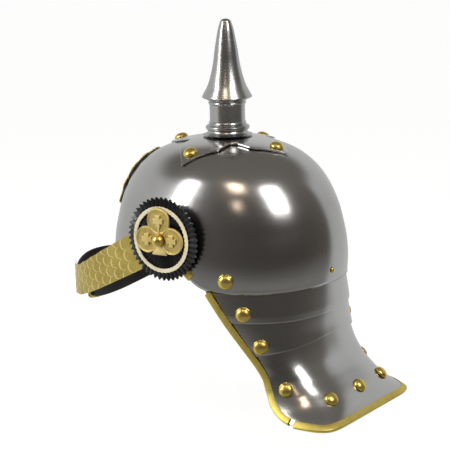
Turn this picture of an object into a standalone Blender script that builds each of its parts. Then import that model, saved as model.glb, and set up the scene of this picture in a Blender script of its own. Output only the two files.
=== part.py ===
"""A polished steel cavalry helmet with a turned spike and a lobster-tail neck guard.

Units are metres. +Z is up, -Y is the wearer's front and +X the wearer's left.
The origin is the middle of the head opening, on the spike's axis and level with
the skull's lower edge at the back, where the helmet sits round the head.
"""

import math

import bmesh
import bpy
from mathutils import Matrix, Vector

# Skull
SKULL_LENGTH = 0.2430
SKULL_WIDTH = 0.2000
DOME_HEIGHT = 0.1310
STEEL = 0.0012
CLEARANCE = 0.0003
SEAT = 0.0005
PLAY_RATIO = 1.4

# Tail of overlapping plates
TAIL_DROP = 0.1170
RIM_WIDTH = 0.1650
RIM_REACH = 0.1670
LAP = 0.0080
NEST = STEEL + PLAY_RATIO * CLEARANCE
UPPER_LAME = 0.0280
LOWER_LAME_BACK = 0.0220
LOWER_LAME_SIDE = 0.0330
LAME_CURVE_RATIO = 1.5

# Brass edging, a folded channel
BRASS = 0.0008
EDGING_HEIGHT = 0.0068
RIM_EDGING_HEIGHT = 0.0055
RIM_GAP = 0.0007
PLATE_STACK = 0.0034
EDGING_TURN = 105.0
EDGING_TOP = 0.0018
CORNER_RATIO = 0.966
INSIDE_TURN = 4.0
EDGING_FACETS = 14

# Spike and its base
SPIKE_HEIGHT = 0.1120
SPIKE_RADIUS = 0.0247
BASE_STEEL = 0.0015
BASE_SEAT = 0.0008
BASE_ARM = 0.0240
BASE_SHOULDER = 0.0460
BASE_POINT = 0.0720
BASE_FILLET = 0.0070
BASE_STUD_PLACE = 0.0580
FILLET_MIDDLE_RATIO = 0.62
SPIKE_TIP_RATIO = 0.04
SPIKE_FACETS = 12

# Domed studs and rivets, by diameter and height; their foot, rim and flat top as shares
STUD = 0.0140
STUD_RISE = 0.0046
SIDE_RIVET = 0.0150
SIDE_RIVET_RISE = 0.0052
SMALL_RIVET = 0.0056
SMALL_RIVET_RISE = 0.0018
HEAD_FOOT_RATIO = 0.97
HEAD_RIM_RATIO = 0.12
HEAD_TOP_RATIO = 0.12
HEAD_ARC_TURNS = (10.0, 52.0)
HEAD_FACETS = 8
SEAT_FACETS = 12

# Side cockades
COCKADE = 0.0800
COCKADE_TEETH = 46
COCKADE_HEIGHT = 0.0484
COCKADE_FORWARD = -0.0015
COCKADE_TURN = 93.0
COCKADE_THICK = 0.0030
PLEAT = 0.0009
NOTCH_RATIO = 0.93
RING = 0.0633
RING_WIDE = 0.0042
RING_THICK = 0.0016
RING_BEVEL_RATIO = 0.7
RING_FACETS = 24

# Trefoil badges: each lobe and part stands a hair higher than the last, so that no faces coincide
LOBE = 0.0254
LOBE_UP = 0.0179
LOBE_SIDE = 0.0141
LOBE_FACETS = 10
TREFOIL_THICK = 0.0012
TREFOIL_LEAN = 1.5
LOBE_RIM = 0.0018
LOBE_SLOPE = 0.0003
LOBE_RELIEF = 0.0009
HAIR = 0.00005
FOOT_TOP = 0.0090
FOOT_BOTTOM = 0.0170
FOOT_START = 0.0070
FOOT_END = 0.0141
FOOT_LAP = 0.0020
HUB_RATIO = 1.12
HUB_FACETS = 12
CROSS_ARM = 0.0053
CROSS_HALF = 0.0016
CROSS_SPREAD_RATIO = 1.5
STEM_HALF = 0.0012
STEM_START = 0.0040
BOSS = 0.0123
BOSS_RISE = 0.0062

# Chin strap of leather faced with brass scales
STRAP = 0.0360
STRAP_END = 0.0270
TONGUE = 0.0220
LEATHER = 0.0020
SCALE_BRASS = 0.0009
SCALE_PITCH = 0.0120
SCALE_STEP = 0.0011
SCALE_SHIFT_RATIO = 0.25
STRAP_SLOPE_RATIO = 0.460
TONGUE_SLOPE_RATIO = 0.510
STRAP_DIP = 0.0180
TONGUE_RISE = 0.0270
STRAP_OVERLAP = 0.0300
TONGUE_END = 0.0360
TONGUE_BARE = 0.0390
STRAP_FRONT = 0.1760
STRAP_SIDE = SKULL_WIDTH / 2 + CLEARANCE + BRASS + SEAT
STRAP_BEHIND = 0.0080
STRAP_STEP = 0.0050
STRAP_TURN_STEPS = 720
SQUARENESS_RATIO = 2.35
DIP_CURVE_RATIO = 8
TAPER_CURVE_RATIO = 1.5

# Rayed front plate on a felt backing: its tips and hollows as shares
FRONT_PLATE = 0.0940
FRONT_HEIGHT = 0.0800
FRONT_RAYS = 14
FRONT_BRASS = 0.0010
FELT = 0.0020
PLATE_HOLLOW_RATIO = 0.86
FELT_TIP_RATIO = 0.96
FELT_HOLLOW_RATIO = 0.88

# Sections of the skull: height, width and length as shares, and squareness
SKULL_SECTIONS = (
    (0.00, 0.985, 0.985, 2.20),
    (0.10, 0.997, 0.997, 2.15),
    (0.20, 1.000, 1.000, 2.10),
    (0.30, 0.993, 0.993, 2.05),
    (0.40, 0.977, 0.975, 2.00),
    (0.50, 0.950, 0.945, 2.00),
    (0.60, 0.912, 0.900, 2.00),
    (0.70, 0.857, 0.838, 2.00),
    (0.80, 0.775, 0.745, 2.00),
    (0.90, 0.630, 0.590, 2.00),
    (0.95, 0.485, 0.440, 2.00),
    (1.00, 0.000, 0.000, 2.00),
)

# Lower edge of the skull: degrees from the front, and height as a share of the dome
SKULL_EDGE = (
    (0.0, -0.075),
    (30.0, -0.055),
    (50.0, 0.010),
    (65.0, 0.095),
    (80.0, 0.170),
    (91.0, 0.190),
    (100.0, 0.140),
    (108.0, 0.050),
    (114.0, 0.012),
    (122.0, 0.000),
    (180.0, 0.000),
)
VISOR_FLARE_RATIO = 0.30

# Rows of facets up the skull, the plates of the tail and the front plate, as shares
SKULL_ROWS = (0, 0.07, 0.21, 0.38, 0.54, 0.69, 0.82, 0.91, 0.965)
LAME_ROWS = (0, 0.222, 1)
GUARD_ROWS = (0, 0.12, 0.34, 0.5, 0.6, 0.68, 0.76, 0.84, 0.92, 1)
FRONT_ROWS = (0.20, 0.60, 1.0)
SKULL_FACETS = 48
TAIL_FACETS = 36

# Turn and rise over which a surface's slope is taken, and how near corners are joined
SLOPE_TURN = 0.4
SLOPE_RISE = 0.0004
JOIN = 0.00005
SHARP_TURN = 40.0
HALVINGS = 30

# Sections of the tail: depth as a share of the drop, how far the width and the
# reach have gone from the skull's to the rim's, squareness, and the front edge
# as a share of the rim's reach
TAIL_SECTIONS = (
    (0.000, 0.00, 0.00, 2.20, 0.245),
    (0.240, 0.22, -0.01, 2.50, 0.350),
    (0.430, 0.56, -0.01, 2.90, 0.437),
    (0.590, 0.95, 0.12, 3.20, 0.507),
    (0.700, 1.28, 0.34, 3.40, 0.545),
    (0.760, 1.36, 0.50, 3.60, 0.560),
    (0.820, 1.38, 0.66, 3.90, 0.580),
    (0.906, 1.26, 0.84, 5.00, 0.625),
    (0.966, 1.08, 0.95, 7.00, 0.700),
    (1.000, 1.00, 1.00, 8.50, 0.785),
)

# Turned profile of the spike: radius and height, as shares of its own
SPIKE_PROFILE = (
    (1.000, 0.000),
    (0.850, 0.010),
    (0.780, 0.034),
    (0.860, 0.052),
    (0.860, 0.072),
    (0.735, 0.084),
    (0.705, 0.116),
    (0.705, 0.262),
    (0.740, 0.290),
    (0.960, 0.318),
    (1.000, 0.330),
    (0.905, 0.372),
    (0.765, 0.426),
    (0.625, 0.524),
    (0.525, 0.625),
    (0.460, 0.727),
    (0.383, 0.826),
    (0.285, 0.930),
    (0.190, 0.982),
)

# Studs of the tail: name, share of the way round from the back to the front edge, depth share
SIDE_RIVETS = (
    ("1", 0.8314, -0.100),
    ("2", 0.7898, 0.165),
    ("3", 0.8207, 0.430),
)
GUARD_STUDS = (
    ("side", 0.8146, 0.765),
    ("corner", 0.4567, 0.835),
)
GUARD_MIDDLE_RATIO = 0.825
BACK_RIVET_RATIO = -0.107

# Finishes: colour, roughness and metallic value
STEEL_FINISH = ((0.56, 0.56, 0.55, 1.0), 0.24, 1.0)
BRASS_FINISH = ((0.72, 0.52, 0.16, 1.0), 0.28, 1.0)
LEATHER_FINISH = ((0.018, 0.016, 0.016, 1.0), 0.45, 0.0)
PLEAT_FINISH = ((0.012, 0.013, 0.016, 1.0), 0.35, 0.0)
CREAM_FINISH = ((0.82, 0.78, 0.62, 1.0), 0.60, 0.0)
FELT_FINISH = ((0.015, 0.015, 0.015, 1.0), 0.95, 0.0)


def clear_scene():
    """Take away whatever the file opened with."""
    for old in list(bpy.data.objects):
        bpy.data.objects.remove(old, do_unlink=True)


def finish_material(name, finish):
    """Make a material from a colour, a roughness and a metallic value."""
    colour, rough, metal = finish
    made = bpy.data.materials.new(name)
    made.use_nodes = True
    shader = made.node_tree.nodes["Principled BSDF"]
    shader.inputs["Base Color"].default_value = colour
    shader.inputs["Roughness"].default_value = rough
    shader.inputs["Metallic"].default_value = metal
    return made


def add_piece(name, mesh_maker, finish, thickness=0.0, outward=False):
    """Turn a bmesh into a named object. A sheet gets its wall on its inside, or outward."""
    mesh = bpy.data.meshes.new(name)
    bmesh.ops.recalc_face_normals(mesh_maker, faces=mesh_maker.faces)
    if thickness:
        away = 0.0
        for face in mesh_maker.faces:
            away += face.normal.dot(face.calc_center_median()) * face.calc_area()
        if away < 0:
            bmesh.ops.reverse_faces(mesh_maker, faces=mesh_maker.faces)
    mesh_maker.to_mesh(mesh)
    mesh_maker.free()
    piece = bpy.data.objects.new(name, mesh)
    bpy.context.scene.collection.objects.link(piece)
    mesh.materials.append(finish_material(name, finish))
    mesh.shade_smooth()
    mesh.set_sharp_from_angle(angle=math.radians(SHARP_TURN))
    if thickness:
        wall = piece.modifiers.new("wall", "SOLIDIFY")
        wall.thickness = thickness
        wall.offset = 1.0 if outward else -1.0
        wall.use_even_offset = True
    return piece


def smooth_value(table, column, place, squared=False):
    """Read one column of a table at a place along its first column, as a smooth curve."""
    rows = [(row[0], row[column] ** 2 if squared else row[column]) for row in table]
    place = min(max(place, rows[0][0]), rows[-1][0])
    last = len(rows) - 1
    index = 0
    while index < last - 1 and place > rows[index + 1][0]:
        index += 1
    (x0, y0), (x1, y1) = rows[index], rows[index + 1]
    span = x1 - x0
    chord = (y1 - y0) / span
    before = (y0 - rows[index - 1][1]) / (x0 - rows[index - 1][0]) if index else chord
    after = (rows[index + 2][1] - y1) / (rows[index + 2][0] - x1) if index + 2 <= last else chord
    leave = (before + chord) / 2 * span
    arrive = (after + chord) / 2 * span
    t = (place - x0) / span
    value = (
        (2 * t**3 - 3 * t**2 + 1) * y0
        + (t**3 - 2 * t**2 + t) * leave
        + (3 * t**2 - 2 * t**3) * y1
        + (t**3 - t**2) * arrive
    )
    return math.sqrt(max(value, 0.0)) if squared else value


def oval_radius(half_width, half_length, squareness, turn):
    """Distance from the axis to a squared oval, turn degrees from the front."""
    across = abs(math.sin(math.radians(turn))) / half_width
    along = abs(math.cos(math.radians(turn))) / half_length
    return (across**squareness + along**squareness) ** (-1 / squareness)


def skull_edge(turn):
    """Height of the skull's lower edge."""
    away = abs((turn + 180) % 360 - 180)
    return DOME_HEIGHT * smooth_value(SKULL_EDGE, 1, away)


def skull_section(height):
    """Half width, half length and squareness of the skull at a height."""
    share = height / DOME_HEIGHT
    half_width = SKULL_WIDTH / 2 * smooth_value(SKULL_SECTIONS, 1, share, True)
    half_length = SKULL_LENGTH / 2 * smooth_value(SKULL_SECTIONS, 2, share, True)
    return half_width, half_length, smooth_value(SKULL_SECTIONS, 3, share)


def skull_point(turn, height):
    """A point of the skull's outer face."""
    radius = oval_radius(*skull_section(height), turn)
    radius += VISOR_FLARE_RATIO * max(0.0, -height)
    angle = math.radians(turn)
    return Vector((radius * math.sin(angle), -radius * math.cos(angle), height))


def surface_normal(surface, turn, height):
    """Outward normal of a surface given by turn and height."""
    sideways = surface(turn + SLOPE_TURN, height) - surface(turn - SLOPE_TURN, height)
    upward = surface(turn, height + SLOPE_RISE) - surface(turn, height - SLOPE_RISE)
    return sideways.cross(upward).normalized()


def dome_height(x, y):
    """Height of the dome's outer face above a point of the plan."""
    low, high = 0.0, DOME_HEIGHT
    turn = math.degrees(math.atan2(x, -y))
    reach = math.hypot(x, y)
    for _ in range(HALVINGS):
        middle = (low + high) / 2
        if middle >= DOME_HEIGHT - 1e-7 or oval_radius(*skull_section(middle), turn) < reach:
            high = middle
        else:
            low = middle
    return (low + high) / 2


def tail_section(height):
    """Half width, reach, squareness and front edge of the tail at a height."""
    depth = -height / TAIL_DROP
    skull_half, skull_reach, square = skull_section(max(height, 0.0))
    if height < 0:
        square = smooth_value(TAIL_SECTIONS, 3, depth)
    wide = smooth_value(TAIL_SECTIONS, 1, depth)
    reach = smooth_value(TAIL_SECTIONS, 2, depth)
    half_width = skull_half + (RIM_WIDTH / 2 - skull_half) * wide
    back = skull_reach + (RIM_REACH - skull_reach) * reach
    return half_width, back, square, RIM_REACH * smooth_value(TAIL_SECTIONS, 4, depth)


def tail_point(turn, height):
    """A point of the tail's outer face, turn degrees from the front."""
    half_width, back, square, _ = tail_section(height)
    radius = oval_radius(half_width, back, square, turn)
    angle = math.radians(turn)
    return Vector((radius * math.sin(angle), -radius * math.cos(angle), height))


def nested_point(turn, height, inset):
    """A point of the tail moved level towards the inside until it is inset square to the face."""
    normal = surface_normal(tail_point, turn, height)
    level = Vector((normal.x, normal.y, 0))
    return tail_point(turn, height) - level * inset / level.length_squared


def tail_front_turn(height):
    """Degrees from the front at which the tail's front edge lies."""
    half_width, back, square, front = tail_section(height)
    side = half_width * (1 - (front / back) ** square) ** (1 / square)
    return math.degrees(math.atan2(side, -front))


def tail_turn(share, height):
    """Degrees from the front, for a share from -1 (left front edge) to 1 (right)."""
    return 180 + share * (180 - tail_front_turn(height))


def skin(maker, rows, closed):
    """Join rows of points with faces, and return the rows of vertices."""
    made = [[maker.verts.new(point) for point in row] for row in rows]
    for low, high in zip(made, made[1:]):
        count = len(low)
        for i in range(count if closed else count - 1):
            j = (i + 1) % count
            maker.faces.new((low[i], low[j], high[j], high[i]))
    return made


def build_skull():
    """Raise the steel skull from its lower edge to the crown."""
    maker = bmesh.new()
    turns = [360 * i / SKULL_FACETS for i in range(SKULL_FACETS)]
    rows = []
    for share in SKULL_ROWS:
        row = []
        for turn in turns:
            edge = skull_edge(turn)
            row.append(skull_point(turn, edge + (DOME_HEIGHT - edge) * share))
        rows.append(row)
    made = skin(maker, rows, True)
    crown = maker.verts.new((0, 0, DOME_HEIGHT))
    for i, vertex in enumerate(made[-1]):
        maker.faces.new((vertex, made[-1][(i + 1) % len(turns)], crown))
    add_piece("skull", maker, STEEL_FINISH, STEEL)


def line_height(line, share):
    """Height of the lower edge of a plate: 0 skull, 1 upper lame, 2 lower lame, 3 guard."""
    if line == 0:
        return 0.0
    if line == 1:
        return -UPPER_LAME
    if line == 3:
        return -TAIL_DROP
    lower = LOWER_LAME_BACK + (LOWER_LAME_SIDE - LOWER_LAME_BACK) * abs(share) ** LAME_CURVE_RATIO
    return -UPPER_LAME - lower


def build_plate(name, line, levels):
    """Make one plate of the tail, nested under the plate above it."""
    maker = bmesh.new()
    rows = []
    for level in levels:
        row = []
        for i in range(TAIL_FACETS + 1):
            share = 2.0 * i / TAIL_FACETS - 1
            above = line_height(line, share)
            below = line_height(line + 1, share)
            top = above + LAP
            height = top + (below - top) * level
            taper = min(above - below, LOWER_LAME_BACK)
            tucked = max(0.0, (height - above + taper) / taper)
            turn = tail_turn(share, min(height, 0.0))
            row.append(nested_point(turn, height, NEST * tucked))
        rows.append(row)
    skin(maker, rows, False)
    add_piece(name, maker, STEEL_FINISH, STEEL)


def channel_section(point, normal, inward, wall, height):
    """Eight corners of a folded brass channel round an edge."""
    outer = RIM_GAP + BRASS
    corners = (
        (outer, height),
        (outer, -outer),
        (-wall - outer, -outer),
        (-wall - outer, height),
        (-wall - RIM_GAP, height),
        (-wall - RIM_GAP, -RIM_GAP),
        (RIM_GAP, -RIM_GAP),
        (RIM_GAP, height),
    )
    return [point + normal * out + inward * up for out, up in corners]


def build_channel(name, stations, wall, height):
    """Fold a channel round an edge given by its points and the plate's points inside them.

    Its sections lie flat to the plate, and they are mitred where the edge turns.
    """
    maker = bmesh.new()
    rows = []
    last = len(stations) - 1
    for i, (point, inside) in enumerate(stations):
        near, far = max(i, 1), min(i, last - 1)
        behind = (stations[near][0] - stations[near - 1][0]).normalized()
        ahead = (stations[far + 1][0] - stations[far][0]).normalized()
        along = ahead + behind
        normal = along.cross(inside - point).normalized()
        inward = normal.cross(along).normalized()
        if normal.dot(Vector((point.x, point.y, 0))) < 0:
            normal = -normal
        if inward.dot(inside - point) < 0:
            inward = -inward
        normal /= math.sqrt(1 - normal.dot(ahead) ** 2)
        inward /= math.sqrt(1 - inward.dot(ahead) ** 2)
        rows.append(channel_section(point, normal, inward, wall, height))
    made = skin(maker, rows, True)
    for end in (made[0], made[-1]):
        maker.faces.new((end[0], end[1], end[6], end[7]))
        maker.faces.new((end[1], end[2], end[5], end[6]))
        maker.faces.new((end[2], end[3], end[4], end[5]))
    add_piece(name, maker, BRASS_FINISH)


def build_skull_edging():
    """Fold brass round the skull's front edge, from temple to temple."""
    stations = []
    steps = round(EDGING_TURN / 360 * SKULL_FACETS)
    for i in range(-steps, steps + 1):
        turn = 360 * i / SKULL_FACETS
        edge = skull_edge(turn)
        inside = skull_point(turn, edge + (DOME_HEIGHT - edge) * SKULL_ROWS[1])
        stations.append((skull_point(turn, edge), inside))
    build_channel("skull_edging", stations, STEEL, EDGING_HEIGHT)


def build_tail_edgings():
    """Fold brass down both front edges of the tail."""
    for side, sign in (("left", -1.0), ("right", 1.0)):
        stations = []
        for i in range(EDGING_FACETS + 1):
            height = -EDGING_TOP + (EDGING_TOP - CORNER_RATIO * TAIL_DROP) * (i / EDGING_FACETS)
            turn = tail_turn(sign, height)
            stations.append((tail_point(turn, height), tail_point(turn - sign * INSIDE_TURN, height)))
        build_channel("tail_edging_" + side, stations, PLATE_STACK, RIM_EDGING_HEIGHT)


def build_rim_edging():
    """Fold brass along the guard's lower rim."""
    stations = []
    for i in range(TAIL_FACETS + 1):
        share = 2.0 * i / TAIL_FACETS - 1
        height = RIM_EDGING_HEIGHT - TAIL_DROP
        inside = tail_point(tail_turn(share, height), height)
        stations.append((tail_point(tail_turn(share, -TAIL_DROP), -TAIL_DROP), inside))
    build_channel("rim_edging", stations, STEEL, RIM_EDGING_HEIGHT)


def turned(profile, steps):
    """Spin a profile of radius and height round Z into a closed solid."""
    maker = bmesh.new()
    rows = []
    for radius, height in profile:
        row = []
        for i in range(steps):
            angle = 2 * math.pi * i / steps
            row.append(Vector((radius * math.cos(angle), radius * math.sin(angle), height)))
        rows.append(row)
    made = skin(maker, rows, True)
    maker.faces.new(made[0])
    maker.faces.new(made[-1])
    return maker


def place(piece, point, normal):
    """Stand a piece made along Z on a point, along a normal."""
    piece.location = point
    piece.rotation_mode = "QUATERNION"
    piece.rotation_quaternion = normal.to_track_quat("Z", "Y")


def seat_lift(surface, point, normal, radius):
    """How far a flat-bottomed head must stand off a surface to clear it all round."""
    side = normal.orthogonal().normalized()
    lift = 0.0
    for step in range(SEAT_FACETS):
        spin = Matrix.Rotation(2 * math.pi * step / SEAT_FACETS, 3, normal)
        rim = point + spin @ side * radius
        under = surface(math.degrees(math.atan2(rim.x, -rim.y)), rim.z)
        lift = max(lift, (under - point).dot(normal))
    return lift + CLEARANCE


def build_stud(name, point, normal, across, rise, lift=CLEARANCE):
    """Set a domed head on a surface, just clear of it."""
    radius = across / 2
    profile = [(radius * HEAD_FOOT_RATIO, 0.0)]
    for turn in HEAD_ARC_TURNS:
        angle = math.radians(turn)
        up = HEAD_RIM_RATIO + (1 - HEAD_RIM_RATIO) * math.sin(angle)
        profile.append((radius * math.cos(angle), rise * up))
    profile.append((radius * HEAD_TOP_RATIO, rise))
    piece = add_piece(name, turned(profile, HEAD_FACETS), BRASS_FINISH)
    place(piece, point + normal * lift, normal)
    return piece


def base_underside(x, y):
    """Underside of the spike's base plate above the dome."""
    return Vector((x, y, dome_height(x, y) + BASE_SEAT))


def build_spike_base():
    """Make the four-armed base plate that lies on the crown."""
    maker = bmesh.new()
    corner = BASE_ARM + BASE_FILLET * (1 - math.sqrt(0.5))
    lanes = (-1.0, -0.5, 0.0, 0.5, 1.0)
    core = [[base_underside(corner * u, corner * v) for u in lanes] for v in lanes]
    skin(maker, core, False)
    middle = BASE_FILLET * FILLET_MIDDLE_RATIO
    hollow = math.sqrt(BASE_FILLET**2 - (BASE_FILLET - middle) ** 2)
    arm_rows = (
        (corner, corner),
        (BASE_ARM + middle, BASE_ARM + BASE_FILLET - hollow),
        (BASE_ARM + BASE_FILLET, BASE_ARM),
        ((BASE_ARM + BASE_FILLET + BASE_SHOULDER) / 2, BASE_ARM),
        (BASE_SHOULDER, BASE_ARM),
        ((BASE_SHOULDER + BASE_POINT) / 2, BASE_ARM / 2),
    )
    for quarter in range(4):
        spin = Matrix.Rotation(math.radians(90 * quarter), 3, "Z")
        rows = []
        for out, half in arm_rows:
            row = []
            for lane in lanes:
                flat = spin @ Vector((out, half * lane, 0))
                row.append(base_underside(flat.x, flat.y))
            rows.append(row)
        made = skin(maker, rows, False)
        flat = spin @ Vector((BASE_POINT, 0, 0))
        tip = maker.verts.new(base_underside(flat.x, flat.y))
        for low, high in zip(made[-1], made[-1][1:]):
            maker.faces.new((low, high, tip))
    bmesh.ops.remove_doubles(maker, verts=maker.verts, dist=JOIN)
    add_piece("spike_base", maker, STEEL_FINISH, BASE_STEEL, True)


def build_spike():
    """Turn the spike with its foot, neck, flare and rounded tip."""
    seat = DOME_HEIGHT + BASE_SEAT + BASE_STEEL + CLEARANCE
    profile = [(SPIKE_RADIUS * r, seat + SPIKE_HEIGHT * h) for r, h in SPIKE_PROFILE]
    profile.append((SPIKE_RADIUS * SPIKE_TIP_RATIO, seat + SPIKE_HEIGHT))
    add_piece("spike", turned(profile, SPIKE_FACETS), STEEL_FINISH)


def build_studs():
    """Set the studs of the base, the tail's rivets and the guard's studs."""
    for name, turn in (("front", 0), ("left", 90), ("back", 180), ("right", 270)):
        angle = math.radians(turn)
        x = BASE_STUD_PLACE * math.sin(angle)
        y = -BASE_STUD_PLACE * math.cos(angle)
        height = dome_height(x, y)
        normal = surface_normal(skull_point, turn, height)
        point = Vector((x, y, height)) + normal * (BASE_SEAT + BASE_STEEL)
        build_stud("base_stud_" + name, point, normal, STUD, STUD_RISE)
    for side, sign in (("left", -1), ("right", 1)):
        for number, share, depth in SIDE_RIVETS:
            name = "side_rivet_" + side + "_" + number
            build_rivet(name, sign * share, depth, SIDE_RIVET, SIDE_RIVET_RISE)
        for number, share, depth in GUARD_STUDS:
            name = "guard_stud_" + side + "_" + number
            build_rivet(name, sign * share, depth, STUD, STUD_RISE)
    build_rivet("guard_stud_middle", 0.0, GUARD_MIDDLE_RATIO, STUD, STUD_RISE)
    build_rivet("back_rivet", 0.0, BACK_RIVET_RATIO, SMALL_RIVET, SMALL_RIVET_RISE)


def build_rivet(name, share, depth, across, rise):
    """Set a head on the tail, or on the skull above its lower edge."""
    surface = skull_point if depth < 0 else tail_point
    height = -depth * TAIL_DROP
    turn = tail_turn(share, min(height, 0.0))
    point = surface(turn, height)
    normal = surface_normal(surface, turn, height)
    lift = seat_lift(surface, point, normal, across / 2)
    build_stud(name, point, normal, across, rise, lift)


def cockade_frame(sign):
    """Middle of a cockade's back, and its outward direction."""
    angle = math.radians(COCKADE_TURN)
    lean = STRAP_BEHIND * abs(math.cos(angle))
    out = STRAP_SIDE + LEATHER + 2 * CLEARANCE + lean
    outward = Vector((sign * math.sin(angle), -math.cos(angle), 0))
    return Vector((sign * out, -COCKADE_FORWARD, COCKADE_HEIGHT)), outward


def facing(piece, middle, outward, lift, lean=0.0):
    """Stand a piece made along Z on a cockade, with its +Y side up, or leaning forward."""
    side = Vector((0, 0, 1)).cross(outward).normalized()
    turn = Matrix((side, Vector((0, 0, 1)), outward)).transposed()
    forward = math.copysign(math.radians(lean), outward.x)
    turn = Matrix.Rotation(forward, 3, outward) @ turn
    piece.matrix_world = Matrix.Translation(middle + outward * lift) @ turn.to_4x4()


def build_pleats(name):
    """Make one pleated disc with a toothed edge."""
    maker = bmesh.new()
    columns = 2 * COCKADE_TEETH
    hub = BOSS / 2
    folds = ((hub, 0.0), (RING / 2 - RING_WIDE / 2, 1.0), (COCKADE / 2, 1.0))
    back = []
    front = []
    for radius, fold in folds:
        low = []
        high = []
        for i in range(columns):
            angle = 2 * math.pi * i / columns
            raised = i % 2 == 0
            reach = radius if raised or radius < COCKADE / 2 else radius * NOTCH_RATIO
            lift = COCKADE_THICK - (0 if raised else PLEAT * fold)
            if radius == COCKADE / 2:
                lift -= PLEAT
            low.append(Vector((reach * math.cos(angle), reach * math.sin(angle), 0)))
            high.append(Vector((reach * math.cos(angle), reach * math.sin(angle), lift)))
        back.append(low)
        front.append(high)
    rows = [back[2], front[2], front[1], front[0]]
    made = skin(maker, rows, True)
    maker.faces.new(made[0])
    maker.faces.new(made[-1])
    return add_piece(name, maker, PLEAT_FINISH)


def build_ring(name):
    """Make the pale ring that lies on the pleats."""
    maker = bmesh.new()
    outer = RING / 2
    inner = outer - RING_WIDE
    section = ((inner, 0), (outer, 0), (outer, RING_THICK * RING_BEVEL_RATIO), (inner, RING_THICK))
    rows = []
    for radius, height in section + section[:1]:
        row = []
        for i in range(RING_FACETS):
            angle = 2 * math.pi * i / RING_FACETS
            row.append(Vector((radius * math.cos(angle), radius * math.sin(angle), height)))
        rows.append(row)
    skin(maker, rows, True)
    bmesh.ops.remove_doubles(maker, verts=maker.verts, dist=JOIN)
    return add_piece(name, maker, CREAM_FINISH)


def lobe_maker(x, y, lift):
    """Make one round lobe with a raised rim."""
    radius = LOBE / 2
    inner = radius - LOBE_RIM
    profile = (
        (radius, 0.0),
        (radius, TREFOIL_THICK + LOBE_RELIEF + lift),
        (inner, TREFOIL_THICK + LOBE_RELIEF + lift),
        (inner - LOBE_SLOPE, TREFOIL_THICK + lift),
    )
    maker = turned(profile, LOBE_FACETS)
    bmesh.ops.translate(maker, verts=maker.verts, vec=(x, y, 0))
    return maker


def prism_maker(outline, low, high):
    """Raise an outline into a prism."""
    maker = bmesh.new()
    bottom = [maker.verts.new((x, y, low)) for x, y in outline]
    base = maker.faces.new(bottom)
    raised = bmesh.ops.extrude_face_region(maker, geom=[base])
    moved = [item for item in raised["geom"] if isinstance(item, bmesh.types.BMVert)]
    bmesh.ops.translate(maker, verts=moved, vec=(0, 0, high - low))
    return maker


def cross_outline(x, y):
    """Outline of a plump four-armed cross."""
    spread = CROSS_HALF * CROSS_SPREAD_RATIO
    quarter = ((CROSS_HALF, CROSS_HALF), (spread, CROSS_ARM), (-spread, CROSS_ARM))
    points = []
    for turn in range(4):
        spin = Matrix.Rotation(math.radians(90 * turn), 2)
        for px, py in quarter:
            moved = spin @ Vector((px, py))
            points.append((x + moved.x, y + moved.y))
    return points


def build_trefoil(name):
    """Join three lobes, their crosses, a stem and a foot into one brass badge."""
    lobes = ((0, LOBE_UP, 0.0), (-LOBE_SIDE, 0, 4 * HAIR), (LOBE_SIDE, 0, 8 * HAIR))
    parts = [lobe_maker(*lobe) for lobe in lobes]
    top = TREFOIL_THICK + LOBE_RELIEF
    foot = (
        (FOOT_TOP / 2, FOOT_LAP - FOOT_START),
        (-FOOT_TOP / 2, FOOT_LAP - FOOT_START),
        (-FOOT_BOTTOM / 2, -FOOT_END),
        (FOOT_BOTTOM / 2, -FOOT_END),
    )
    parts.append(prism_maker(foot, HAIR, top - 4 * HAIR))
    hub = BOSS / 2 * HUB_RATIO
    parts.append(turned(((hub, 2 * HAIR), (hub, top - 6 * HAIR)), HUB_FACETS))
    for x, y, lift in lobes:
        parts.append(prism_maker(cross_outline(x, y), 6 * HAIR, top - 2 * HAIR + lift))
    stem = (
        (STEM_HALF, STEM_START),
        (STEM_HALF, LOBE_UP - CROSS_HALF),
        (-STEM_HALF, LOBE_UP - CROSS_HALF),
        (-STEM_HALF, STEM_START),
    )
    parts.append(prism_maker(stem, 8 * HAIR, top - 7 * HAIR))
    piece = add_piece(name, parts[0], BRASS_FINISH)
    for number, maker in enumerate(parts[1:]):
        cutter = add_piece(name + "_joined_" + str(number), maker, BRASS_FINISH)
        union = piece.modifiers.new("join", "BOOLEAN")
        union.operation = "UNION"
        union.object = cutter
        cutter.hide_render = True
        cutter.display_type = "WIRE"
    return piece


def build_cockades():
    """Set a cockade, ring, trefoil and boss on each side."""
    for side, sign in (("left", 1), ("right", -1)):
        middle, outward = cockade_frame(sign)
        lift = 0.0
        facing(build_pleats("cockade_" + side), middle, outward, lift)
        lift += COCKADE_THICK + CLEARANCE
        facing(build_ring("cockade_ring_" + side), middle, outward, lift)
        lift += RING_THICK + CLEARANCE
        badge = build_trefoil("trefoil_" + side)
        facing(badge, middle, outward, lift, TREFOIL_LEAN)
        for union in badge.modifiers:
            union.object.parent = badge
        lift += TREFOIL_THICK + LOBE_RELIEF + 2 * CLEARANCE
        boss = build_stud("trefoil_boss_" + side, Vector(), Vector((0, 0, 1)), BOSS, BOSS_RISE)
        facing(boss, middle, outward, lift)


def strap_plan(run, inset):
    """Point of the strap's way round, in plan, from 0 at the side to 90 at the front."""
    angle = math.radians(run)
    power = 2 / SQUARENESS_RATIO
    x = STRAP_SIDE * math.cos(angle) ** power
    y = -(STRAP_FRONT - inset) * math.sin(angle) ** power
    return Vector((x, y, 0))


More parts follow.
